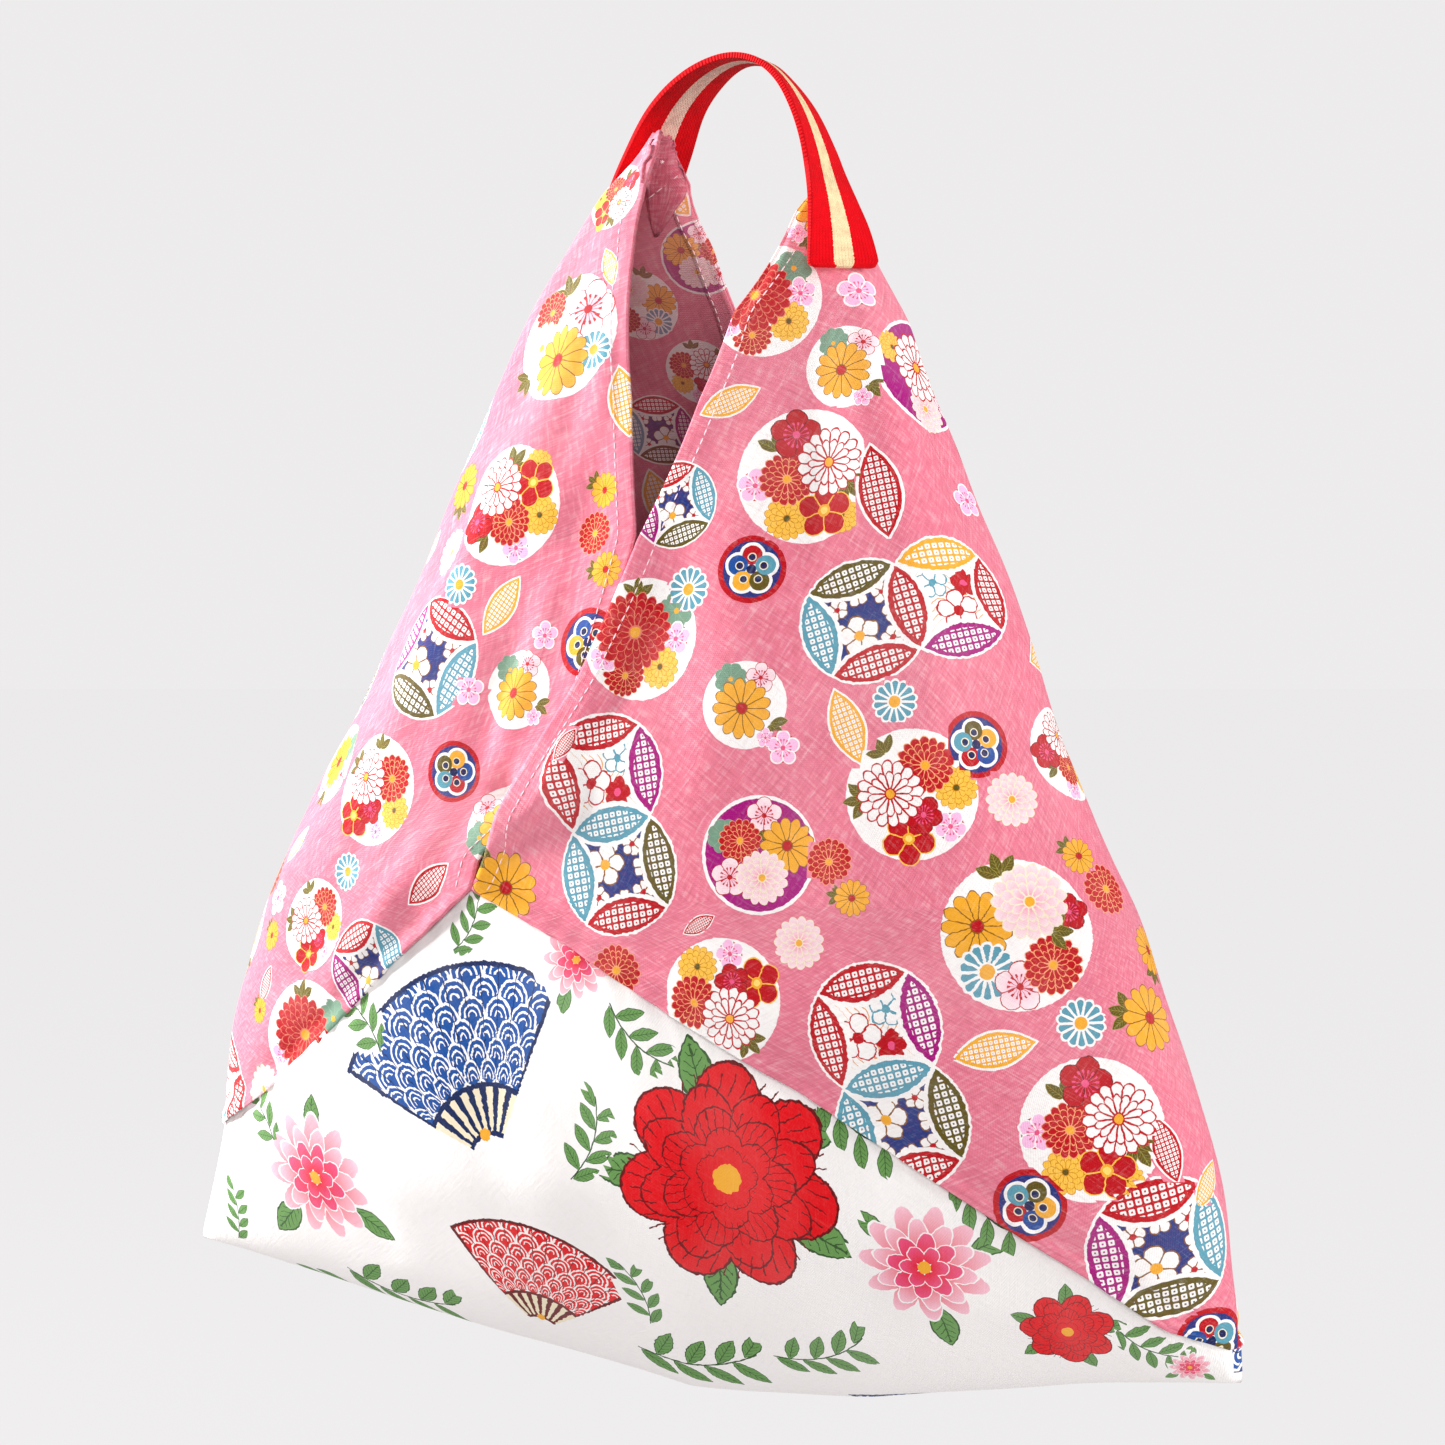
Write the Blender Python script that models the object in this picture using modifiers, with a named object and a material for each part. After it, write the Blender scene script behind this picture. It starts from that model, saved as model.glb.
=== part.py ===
"""Bento bag: a triangle bag sewn from three squares of cotton, with a webbing strap.

The cloth is one long strip of three squares. The middle square is the white base, which is
folded along its diagonal so that its corners P (left) and Q (right) are the bottom corners of
the bag. The squares on either side are the printed wings. Each wing is sewn to two sides of the
base, and its free hems rise to a peak. The strap is sewn to the outsides of the two peaks.

+X is right, -Y is the front and +Z is up. The origin is where the bag hangs: the middle of the
strap's inner side, at the top of the loop.
"""

import math

import bmesh
import bpy
from mathutils import Vector

# Driving sizes, in metres
BODY_WIDTH = 0.42        # from corner P to corner Q
BODY_HEIGHT = 0.50       # from corner Q to the left peak
FRONT_DEPTH = 0.085      # how far the filled bag stands out in front of its outline
BACK_DEPTH = 0.150       # how far it stands out behind
CLOTH = 0.0011           # a doubled or lined cotton wall
STRAP_WIDTH = 0.030
STRAP_WALL = 0.0024
SEAM_GAP = 0.0003        # between pieces that are sewn together
STRAP_SEAT = 0.0014      # from the cloth to the strap, which spans its curve
STRAP_REACH = 0.84       # how far across a peak the strap follows the cloth
LAP_RISE = 0.0032        # how far a lapped wing lies over the other one
POCKET_RISE = 0.006      # the small mouth under the front lap
TURN = 0.45              # depth gained for each metre to the left: the bag hangs turned
BOTTOM_ROUND = 0.085     # height over which the bottom fold rounds out into the body
ROUNDNESS = 2.2          # exponent of a section, where 2 is an ellipse

# Facets
WING_ROWS = 30
SEAM_ROWS = 14          # of the wing's rows, those beside the base
WING_COLUMNS = 24
BASE_ROWS = 28
BASE_COLUMNS = 2 * SEAM_ROWS
STRAP_ROWS = 44
STRAP_COLUMNS = 6

# Outline of the body. Columns: height as a share of BODY_HEIGHT, side as a share of BODY_WIDTH
LEFT_OUTLINE = (
    (0.048, -0.535),
    (0.130, -0.513),
    (0.255, -0.488),
    (0.386, -0.436),
    (0.516, -0.362),
    (0.643, -0.288),
    (0.767, -0.220),
    (0.849, -0.175),
    (0.929, -0.120),
    (0.961, -0.086),
    (0.990, -0.060),
)
RIGHT_OUTLINE = (
    (0.004, 0.476),
    (0.066, 0.471),
    (0.181, 0.451),
    (0.296, 0.407),
    (0.411, 0.357),
    (0.527, 0.301),
    (0.644, 0.251),
    (0.762, 0.194),
    (0.842, 0.158),
    (0.922, 0.115),
    (0.990, 0.090),
)

# Fullness of the body. Columns: height as a share of BODY_HEIGHT, share of the front depth,
# share of the back depth
FULLNESS = (
    (0.00, 0.70, 0.68),
    (0.15, 0.90, 0.88),
    (0.32, 1.00, 1.00),
    (0.48, 0.92, 0.96),
    (0.62, 0.76, 0.80),
    (0.76, 0.54, 0.56),
    (0.86, 0.36, 0.36),
    (0.93, 0.22, 0.23),
    (1.00, 0.10, 0.12),
)

# Seams, hems and bottom fold. Columns: height as a share of BODY_HEIGHT, place across the
# body, where -1 is the left outline and 1 the right one. C is the front valley, A the back one
LEFT_CORNER = (0.150, -1.0)
RIGHT_CORNER = (0.030, 1.0)
FRONT_VALLEY = (0.373, -0.50)
BACK_VALLEY = (0.371, 0.58)
FRONT_LEFT_SEAM = (LEFT_CORNER, (0.216, -0.83), (0.310, -0.65), FRONT_VALLEY)
FRONT_RIGHT_SEAM = (RIGHT_CORNER, (0.050, 0.86), (0.097, 0.71), (0.153, 0.50), (0.230, 0.22),
                    (0.300, -0.10), (0.334, -0.26), FRONT_VALLEY)
BACK_LEFT_SEAM = (LEFT_CORNER, (0.190, -0.70), (0.250, -0.35), (0.320, 0.20), BACK_VALLEY)
BACK_RIGHT_SEAM = (RIGHT_CORNER, (0.090, 0.90), (0.200, 0.79), (0.300, 0.69), BACK_VALLEY)
FRONT_LEFT_HEM = (FRONT_VALLEY, (0.400, -0.498), (0.443, -0.39), (0.532, -0.30), (0.656, -0.24), (0.762, -0.34),
                  (0.880, -0.52), (0.931, -0.62), (0.966, -0.80), (0.982, -0.90))
FRONT_RIGHT_HEM = (FRONT_VALLEY, (0.400, -0.485), (0.435, -0.48), (0.487, -0.42), (0.543, -0.34), (0.614, -0.27),
                   (0.652, -0.23), (0.762, -0.03), (0.830, 0.13), (0.911, 0.60), (0.930, 0.80))
BACK_LEFT_HEM = (BACK_VALLEY, (0.400, 0.570), (0.453, 0.56), (0.560, 0.48), (0.684, 0.38), (0.768, 0.27),
                 (0.842, 0.14), (0.894, -0.01), (0.945, -0.31), (0.982, -0.80))
BACK_RIGHT_HEM = (BACK_VALLEY, (0.400, 0.585), (0.453, 0.53), (0.560, 0.45), (0.668, 0.46), (0.767, 0.55),
                  (0.850, 0.66), (0.907, 0.80), (0.930, 0.88))
BOTTOM_FOLD = ((0.048, -1.00), (0.004, -0.48), (-0.036, 0.00), (-0.030, 0.34), (-0.016, 0.65),
               (0.004, 1.00))

# Middle line of the strap's inner side, from the left peak over the top to the right peak.
# Columns: side and depth as shares of BODY_WIDTH, height as a share of BODY_HEIGHT, and how far
# the strap's width is turned towards the back, in degrees
STRAP_ROUTE = (
    (-0.099, 0.146, 0.884, 14),
    (-0.081, 0.122, 0.930, 12),
    (-0.063, 0.097, 0.967, 26),
    (-0.043, 0.070, 1.002, 43),
    (-0.017, 0.041, 1.025, 55),
    (0.011, 0.014, 1.036, 68),
    (0.036, -0.007, 1.033, 74),
    (0.056, -0.026, 1.018, 76),
    (0.074, -0.048, 0.993, 71),
    (0.088, -0.069, 0.961, 65),
    (0.099, -0.088, 0.923, 54),
    (0.107, -0.103, 0.893, 37),
    (0.112, -0.117, 0.864, 20),
)
STRAP_TOP = 5            # the row of STRAP_ROUTE that hangs on the hook

PINK = (0.83, 0.24, 0.31, 1.0)
WHITE = (0.88, 0.87, 0.84, 1.0)
RED = (0.70, 0.01, 0.02, 1.0)


def smooth_step(value):
    value = min(max(value, 0.0), 1.0)
    return value * value * (3.0 - 2.0 * value)


def between(table, key, column, key_column=0):
    """Linear reading of one column of a table at a value of its key column."""
    rows = sorted(table, key=lambda row: row[key_column])
    if key <= rows[0][key_column]:
        return rows[0][column]
    for low, high in zip(rows, rows[1:]):
        if key <= high[key_column]:
            share = (key - low[key_column]) / (high[key_column] - low[key_column])
            return low[column] + (high[column] - low[column]) * share
    return rows[-1][column]


def curved(table, key, column):
    """Smooth reading of a table whose first column rises: a cubic through its rows."""
    keys = [row[0] for row in table]
    key = min(max(key, keys[0]), keys[-1])
    i = max(j for j in range(len(keys) - 1) if keys[j] <= key)
    return cubic(table, i, (key - keys[i]) / (keys[i + 1] - keys[i]), column)


def cubic(table, i, share, column):
    """Value of a column at a share of the way from row i to the next row."""
    last = len(table) - 1
    before = table[max(i - 1, 0)]
    low = table[i]
    high = table[i + 1]
    after = table[min(i + 2, last)]
    span = high[0] - low[0]
    if column == 0:
        span = 0.0
    slope_low = (high[column] - before[column]) * 0.5
    slope_high = (after[column] - low[column]) * 0.5
    if span and table is not STRAP_ROUTE:
        slope_low = (high[column] - before[column]) / (high[0] - before[0]) * span
        slope_high = (after[column] - low[column]) / (after[0] - low[0]) * span
    s2 = share * share
    s3 = s2 * share
    return ((2 * s3 - 3 * s2 + 1) * low[column] + (s3 - 2 * s2 + share) * slope_low
            + (3 * s2 - 2 * s3) * high[column] + (s3 - s2) * slope_high)


def outline(height):
    """Left and right side of the body at a height in metres."""
    share = height / BODY_HEIGHT
    left = curved(LEFT_OUTLINE, share, 1) * BODY_WIDTH
    right = curved(RIGHT_OUTLINE, share, 1) * BODY_WIDTH
    return left, right


def bottom_height(across):
    return between(BOTTOM_FOLD, across, 0, key_column=1) * BODY_HEIGHT


def body_point(across, height, side, lift=0.0):
    """Point of the inner face of the cloth. side is -1 in front and 1 behind."""
    left, right = outline(height)
    x = (left + right) / 2 + (right - left) / 2 * across
    share = height / BODY_HEIGHT
    if side < 0:
        depth = FRONT_DEPTH * curved(FULLNESS, share, 1)
    else:
        depth = BACK_DEPTH * curved(FULLNESS, share, 2)
    section = max(1.0 - abs(across) ** ROUNDNESS, 0.0) ** (1.0 / ROUNDNESS)
    rise = min(max((height - bottom_height(across)) / BOTTOM_ROUND, 0.0), 1.0)
    bottom = math.sqrt(max(1.0 - (1.0 - rise) ** 2, 0.0))
    return Vector((x, -TURN * x + side * (depth * section * bottom + lift), height))


def overlap(height, under, over):
    """Width in metres by which the hem of the under wing passes the hem of the over wing."""
    left, right = outline(height)
    share = height / BODY_HEIGHT
    return (between(under, share, 1) - between(over, share, 1)) * (right - left) / 2


def lap_lift(across, height, side):
    """How far the upper layer of a lap is raised: the right wing in front, the left behind."""
    if height <= FRONT_VALLEY[0] * BODY_HEIGHT:
        return 0.0
    left, right = outline(height)
    share = height / BODY_HEIGHT
    if side < 0:
        lap = overlap(height, FRONT_LEFT_HEM, FRONT_RIGHT_HEM)
        inside = (across - between(FRONT_RIGHT_HEM, share, 1)) * (right - left) / 2
    else:
        lap = overlap(height, BACK_LEFT_HEM, BACK_RIGHT_HEM)
        inside = (between(BACK_LEFT_HEM, share, 1) - across) * (right - left) / 2
    fade = smooth_step((lap + 0.012 - inside) / 0.012)
    start = smooth_step((lap + 0.008) / 0.006)
    rise = LAP_RISE
    if side < 0:
        rise += POCKET_RISE * math.exp(-((share - 0.445) / 0.030) ** 2)
    return rise * fade * start


def edge(up, corner, seam, hem):
    """Place across and height share on a wing's edge, from its corner over the valley to the peak."""
    valley = hem[0]
    turn = SEAM_ROWS / WING_ROWS
    if up <= turn:
        across = corner[1] + (valley[1] - corner[1]) * up / turn
        return across, between(seam, across, 0, key_column=1)
    share = valley[0] + (hem[-1][0] - valley[0]) * (up - turn) / (1 - turn)
    return between(hem, share, 1), share


def wing_point(along, up, which):
    """along runs from the front edge round the outline to the back edge, up to the peak."""
    if which == "left":
        front = edge(up, LEFT_CORNER, FRONT_LEFT_SEAM, FRONT_LEFT_HEM)
        back = edge(up, LEFT_CORNER, BACK_LEFT_SEAM, BACK_LEFT_HEM)
        facing = -1
    else:
        front = edge(up, RIGHT_CORNER, FRONT_RIGHT_SEAM, FRONT_RIGHT_HEM)
        back = edge(up, RIGHT_CORNER, BACK_RIGHT_SEAM, BACK_RIGHT_HEM)
        facing = 1
    front_angle = math.acos(min(max(facing * front[0], -1.0), 1.0))
    back_angle = math.acos(min(max(facing * back[0], -1.0), 1.0))
    angle = front_angle - (front_angle + back_angle) * along
    height = (front[1] + (back[1] - front[1]) * smooth_step(along)) * BODY_HEIGHT
    side = -1 if angle > 0 else 1
    across = facing * math.cos(angle)
    lift = 0.0
    if (which == "right") == (side < 0):
        lift = lap_lift(across, height, side)
    return body_point(across, height, side, lift)


def base_point(along, round_it):
    """along runs from corner P to corner Q, round_it from the front seam under to the back."""
    if along <= 0.5:
        corner, seams, up = LEFT_CORNER, (FRONT_LEFT_SEAM, BACK_LEFT_SEAM), along * 2
    else:
        corner, seams, up = RIGHT_CORNER, (FRONT_RIGHT_SEAM, BACK_RIGHT_SEAM), 2 - along * 2
    up *= SEAM_ROWS / WING_ROWS
    front = edge(up, corner, seams[0], FRONT_LEFT_HEM)
    back = edge(up, corner, seams[1], BACK_LEFT_HEM)
    side = -1 if round_it < 0.5 else 1
    rim = front if side < 0 else back
    fold_across = (front[0] + back[0]) / 2
    rim_height = rim[1] * BODY_HEIGHT - 2 * SEAM_GAP
    climb = 1.0 - math.cos(abs(round_it - 0.5) * math.pi)
    across = fold_across + (rim[0] - fold_across) * climb
    low = bottom_height(fold_across)
    return body_point(across, low + (rim_height - low) * climb, side)


def strap_frame(share):
    """Middle, width direction and outward side of the strap's inner face."""
    place = share * (len(STRAP_ROUTE) - 1)
    i = min(int(place), len(STRAP_ROUTE) - 2)
    side, depth, height, turn = (cubic(STRAP_ROUTE, i, place - i, column) for column in range(4))
    middle = Vector((side * BODY_WIDTH, depth * BODY_WIDTH, height * BODY_HEIGHT))
    across = Vector((math.cos(math.radians(turn)), math.sin(math.radians(turn)), 0.0))
    return middle, across


def strap_push(middle, direction, along):
    """How far a row of the strap moves off the cloth of the peak that it is sewn to."""
    reach = CLOTH + STRAP_SEAT
    push = 0.0
    for column in range(STRAP_COLUMNS + 1):
        point = middle + direction * (column / STRAP_COLUMNS - 0.5) * STRAP_WIDTH
        left, right = outline(point.z)
        place = (point.x - (left + right) / 2) / ((right - left) / 2)
        place = min(max(place, -STRAP_REACH), STRAP_REACH)
        if along < 0.5 and point.z < FRONT_LEFT_HEM[-1][0] * BODY_HEIGHT + 0.004:
            push = max(push, body_point(place, point.z, 1).y + reach - point.y)
        elif along > 0.5 and point.z < FRONT_RIGHT_HEM[-1][0] * BODY_HEIGHT + 0.010:
            push = min(push, body_point(place, point.z, -1).y - reach - point.y)
    peak = FRONT_LEFT_HEM[-1][0] if along < 0.5 else FRONT_RIGHT_HEM[-1][0]
    return push * smooth_step((peak * BODY_HEIGHT + 0.010 - middle.z) / 0.016)


def strap_point(across, along):
    middle, direction = strap_frame(along)
    point = middle + direction * (across - 0.5) * STRAP_WIDTH
    point.y += strap_push(middle, direction, along)
    return point


def hang_point():
    return strap_frame(STRAP_TOP / (len(STRAP_ROUTE) - 1))[0]


def material(name, colour, roughness):
    made = bpy.data.materials.new(name)
    made.use_nodes = True
    shader = made.node_tree.nodes["Principled BSDF"]
    shader.inputs["Base Color"].default_value = colour
    shader.inputs["Roughness"].default_value = roughness
    shader.inputs["Metallic"].default_value = 0.0
    return made


def sheet(name, place, columns, rows, wall, finish, collection, flip=False):
    """A grid laid out by place(u, v) and thickened outwards by wall."""
    mesh = bmesh.new()
    bmesh.ops.create_grid(mesh, x_segments=columns, y_segments=rows, size=0.5)
    origin = hang_point()
    for vertex in mesh.verts:
        vertex.co = place(vertex.co.x + 0.5, vertex.co.y + 0.5) - origin
    bmesh.ops.remove_doubles(mesh, verts=mesh.verts, dist=0.00002)
    if flip:
        bmesh.ops.reverse_faces(mesh, faces=mesh.faces)
    data = bpy.data.meshes.new(name)
    mesh.to_mesh(data)
    mesh.free()
    made = bpy.data.objects.new(name, data)
    collection.objects.link(made)
    data.materials.append(finish)
    thicken = made.modifiers.new("wall", "SOLIDIFY")
    thicken.thickness = wall
    thicken.offset = 1.0
    thicken.use_even_offset = False
    return made


def build():
    for old in list(bpy.data.objects):
        bpy.data.objects.remove(old, do_unlink=True)
    bag = bpy.data.collections.new("bento_bag")
    bpy.context.scene.collection.children.link(bag)
    pink = material("printed_cotton", PINK, 0.85)
    white = material("white_cotton", WHITE, 0.85)
    red = material("red_webbing", RED, 0.75)
    sheet("base_panel", base_point, BASE_COLUMNS, BASE_ROWS, CLOTH, white, bag,
          flip=True)
    sheet("left_wing", lambda u, v: wing_point(u, v, "left"), WING_COLUMNS, WING_ROWS, CLOTH,
          pink, bag, flip=True)
    sheet("right_wing", lambda u, v: wing_point(u, v, "right"), WING_COLUMNS, WING_ROWS, CLOTH,
          pink, bag)
    sheet("handle_strap", strap_point, STRAP_COLUMNS, STRAP_ROWS, STRAP_WALL, red, bag,
          flip=True)


build()
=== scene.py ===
# %% [markdown]
# A bento bag is one long strip of cotton, three squares long, folded and sewn so that two
# squares become wings and the middle one the base. It hangs by a strap of webbing. The wings
# and the base are thin cloth, so each is modelled as a fine grid that is laid over the form of
# the filled bag and then given its wall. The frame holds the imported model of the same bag, in
# the same place, and every new piece stands for one of its nodes or rides on it.

# %% Load the frame
import math

import bmesh
import bpy
import numpy as np
from mathutils import Matrix, Vector
from mathutils.bvhtree import BVHTree


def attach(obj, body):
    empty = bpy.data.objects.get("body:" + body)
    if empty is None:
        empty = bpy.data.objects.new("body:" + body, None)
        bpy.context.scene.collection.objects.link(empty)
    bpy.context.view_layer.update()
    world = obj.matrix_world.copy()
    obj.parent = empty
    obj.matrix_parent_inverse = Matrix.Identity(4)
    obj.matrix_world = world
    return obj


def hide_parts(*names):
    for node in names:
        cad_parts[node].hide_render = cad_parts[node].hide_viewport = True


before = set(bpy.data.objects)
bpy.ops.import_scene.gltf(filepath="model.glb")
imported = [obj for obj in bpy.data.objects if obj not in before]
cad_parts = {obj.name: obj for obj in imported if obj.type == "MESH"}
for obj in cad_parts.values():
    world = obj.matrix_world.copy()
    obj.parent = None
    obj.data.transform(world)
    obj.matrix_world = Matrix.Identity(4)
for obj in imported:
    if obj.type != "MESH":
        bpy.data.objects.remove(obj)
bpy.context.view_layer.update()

# %% [markdown]
# Every piece and every material repeats a few steps, so they are written once: a bmesh becomes
# mesh data and is let go, mesh data becomes an object in the scene, and a node's sockets get
# their fixed values.

# %% Small helpers
def mesh_data(mesh, name):
    """The finished mesh of a bmesh, which is then let go."""
    data = bpy.data.meshes.new(name)
    mesh.to_mesh(data)
    mesh.free()
    return data


def add_object(name, data):
    made = bpy.data.objects.new(name, data)
    bpy.context.scene.collection.objects.link(made)
    return made


def set_sockets(node, values):
    for name, value in values.items():
        node.inputs[name].default_value = value


# %% [markdown]
# The bag was photographed hanging, a little turned, from about its own middle height. The
# camera stands that far away, and its lens gives the same size in the picture. The origin of
# the frame is the inside top of the strap, so the lowest corner of the cloth lies FLOOR_LINE
# under it.

# %% Camera
PICTURE = 1445
CAMERA_DISTANCE = 1.6
CAMERA_HEIGHT = 0.33      # above the lower bottom corner
CAMERA_TILT = math.radians(2.8)
FOCAL_PIXELS = 3947.0
SENSOR_WIDTH = 36.0       # in millimetres
HANG = Vector((0.00462, 0.00588, 0.518))      # the strap's top, from the lower bottom corner
FLOOR_LINE = -HANG.z

camera_place = Vector((0.0, -CAMERA_DISTANCE, CAMERA_HEIGHT)) - HANG
camera_data = bpy.data.cameras.new("camera")
camera_data.sensor_width = SENSOR_WIDTH
camera_data.lens = SENSOR_WIDTH * FOCAL_PIXELS / PICTURE
camera = add_object("camera", camera_data)
camera.location = camera_place
camera.rotation_euler = (math.pi / 2 - CAMERA_TILT, 0.0, 0.0)
bpy.context.scene.camera = camera
print("lens:", round(camera_data.lens, 1), "mm")


def sight(px, py):
    """Direction in which the camera sees a pixel of the 1445 picture."""
    right = (px - PICTURE / 2) / FOCAL_PIXELS
    up = (PICTURE / 2 - py) / FOCAL_PIXELS
    cos, sin = math.cos(CAMERA_TILT), math.sin(CAMERA_TILT)
    return Vector((right, cos + up * sin, up * cos - sin)).normalized()


# %% [markdown]
# The floor is a wide pale sheet, well below the hanging bag, and the camera sees the same pale
# grey all round it. The sky that lights the bag is dimmer than the one the camera sees, which
# leaves room for three soft lights. The strong one on the left, a little behind the bag, gives
# its bright left wing, a weak one beside the camera reaches into the opening, and a third one
# lifts the right side.

# %% Floor, world and lights
FLOOR_DROP = 0.30
FLOOR_SIZE = 14.0
FLOOR_GLOW = 0.975
PAPER = (0.85, 0.835, 0.84, 1.0)
FLOOR_PAPER = (0.02, 0.0196, 0.0198, 1.0)
SKY_SEEN, SKY_GIVEN = 1.0, 0.56
LIT_PLACE = Vector((0.0, 0.0, -0.27))
# Columns: name, place, size in metres and power in watts
LIGHTS = (
    ("key", (-2.3, 0.75, 0.65), 1.0, 170.0),
    ("front", (0.15, -2.4, 0.25), 0.7, 18.0),
    ("right", (2.2, -1.0, 0.45), 1.2, 40.0))


def stage_floor():
    mesh = bmesh.new()
    bmesh.ops.create_grid(mesh, x_segments=1, y_segments=1, size=FLOOR_SIZE)
    bmesh.ops.translate(mesh, verts=mesh.verts, vec=(0, 0, FLOOR_LINE - FLOOR_DROP))
    floor = add_object("studio_floor", mesh_data(mesh, "studio_floor"))
    paper = bpy.data.materials.new("floor_paper")
    paper.use_nodes = True
    set_sockets(paper.node_tree.nodes["Principled BSDF"], {
        "Base Color": FLOOR_PAPER, "Roughness": 1.0, "Specular IOR Level": 0.0,
        "Emission Color": PAPER, "Emission Strength": FLOOR_GLOW})
    floor.data.materials.append(paper)


def light(name, place, size, power):
    data = bpy.data.lights.new(name, "AREA")
    data.energy = power
    data.size = size
    lamp = add_object(name, data)
    lamp.location = place
    lamp.rotation_euler = (LIT_PLACE - Vector(place)).to_track_quat("-Z", "Y").to_euler()


def paper_world():
    world = bpy.data.worlds.new("paper")
    world.use_nodes = True
    tree = world.node_tree
    sky = tree.nodes["Background"]
    sky.inputs["Color"].default_value = PAPER
    rays = tree.nodes.new("ShaderNodeLightPath")
    strength = tree.nodes.new("ShaderNodeMapRange")
    strength.inputs["To Min"].default_value = SKY_GIVEN
    strength.inputs["To Max"].default_value = SKY_SEEN
    tree.links.new(rays.outputs["Is Camera Ray"], strength.inputs["Value"])
    tree.links.new(strength.outputs["Result"], sky.inputs["Strength"])
    bpy.context.scene.world = world


stage_floor()
for row in LIGHTS:
    light(*row)
paper_world()
bpy.context.scene.view_settings.view_transform = "Standard"

# %% [markdown]
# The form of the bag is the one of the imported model: an outline, a fullness in front and
# behind, and the lines of the seams and hems on it. Heights are shares of the body's height
# and places across run from -1 at the left outline to 1 at the right one. The tables repeat
# the part's own, because the cloth must lie where its solids are.

# %% Form of the body
BODY_WIDTH = 0.42
BODY_HEIGHT = 0.50
FRONT_DEPTH = 0.085
BACK_DEPTH = 0.150
CLOTH = 0.0011
STRAP_WIDTH = 0.030
STRAP_WALL = 0.0024
STRAP_SEAT = 0.0014
STRAP_REACH = 0.84
LAP_RISE = 0.0032
LAP_FADE = 0.012          # beyond the lap, the lift fades over this length
LAP_START, LAP_RAMP = 0.008, 0.006
POCKET_RISE = 0.006
POCKET_PLACE, POCKET_REACH = 0.445, 0.030
TURN = 0.45
BOTTOM_ROUND = 0.085
ROUNDNESS = 2.2
CLOTH_SIDE = 0.365

LEFT_OUTLINE = (
    (0.048, -0.535), (0.130, -0.513), (0.255, -0.488), (0.386, -0.436), (0.516, -0.362),
    (0.643, -0.288), (0.767, -0.220), (0.849, -0.175), (0.929, -0.120), (0.961, -0.086),
    (0.990, -0.060))
RIGHT_OUTLINE = (
    (0.004, 0.476), (0.066, 0.471), (0.181, 0.451), (0.296, 0.407), (0.411, 0.357),
    (0.527, 0.301), (0.644, 0.251), (0.762, 0.194), (0.842, 0.158), (0.922, 0.115),
    (0.990, 0.090))
FULLNESS = (
    (0.00, 0.70, 0.68), (0.15, 0.90, 0.88), (0.32, 1.00, 1.00), (0.48, 0.92, 0.96),
    (0.62, 0.76, 0.80), (0.76, 0.54, 0.56), (0.86, 0.36, 0.36), (0.93, 0.22, 0.23),
    (1.00, 0.10, 0.12))
LEFT_CORNER = (0.150, -1.0)
RIGHT_CORNER = (0.030, 1.0)
FRONT_VALLEY = (0.373, -0.50)
BACK_VALLEY = (0.371, 0.58)
FRONT_LEFT_SEAM = (LEFT_CORNER, (0.216, -0.83), (0.310, -0.65), FRONT_VALLEY)
FRONT_RIGHT_SEAM = (RIGHT_CORNER, (0.050, 0.86), (0.097, 0.71), (0.153, 0.50), (0.230, 0.22),
                    (0.300, -0.10), (0.334, -0.26), FRONT_VALLEY)
BACK_LEFT_SEAM = (LEFT_CORNER, (0.190, -0.70), (0.250, -0.35), (0.320, 0.20), BACK_VALLEY)
BACK_RIGHT_SEAM = (RIGHT_CORNER, (0.090, 0.90), (0.200, 0.79), (0.300, 0.69), BACK_VALLEY)
FRONT_LEFT_HEM = (FRONT_VALLEY, (0.400, -0.498), (0.443, -0.39), (0.532, -0.30),
                  (0.656, -0.24), (0.762, -0.34), (0.880, -0.52), (0.931, -0.62),
                  (0.966, -0.80), (0.982, -0.90))
FRONT_RIGHT_HEM = (FRONT_VALLEY, (0.400, -0.485), (0.435, -0.48), (0.487, -0.42),
                   (0.543, -0.34), (0.614, -0.27), (0.652, -0.23), (0.762, -0.03),
                   (0.830, 0.13), (0.911, 0.60), (0.930, 0.80))
BACK_LEFT_HEM = (BACK_VALLEY, (0.400, 0.570), (0.453, 0.56), (0.560, 0.48), (0.684, 0.38),
                 (0.768, 0.27), (0.842, 0.14), (0.894, -0.01), (0.945, -0.31), (0.982, -0.80))
BACK_RIGHT_HEM = (BACK_VALLEY, (0.400, 0.585), (0.453, 0.53), (0.560, 0.45), (0.668, 0.46),
                  (0.767, 0.55), (0.850, 0.66), (0.907, 0.80), (0.930, 0.88))
BOTTOM_FOLD = ((0.048, -1.00), (0.004, -0.48), (-0.036, 0.00), (-0.030, 0.34),
               (-0.016, 0.65), (0.004, 1.00))


def linear(table, key, column=1, key_column=0):
    rows = np.array(sorted(table, key=lambda row: row[key_column]))
    return np.interp(key, rows[:, key_column], rows[:, column])


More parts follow.
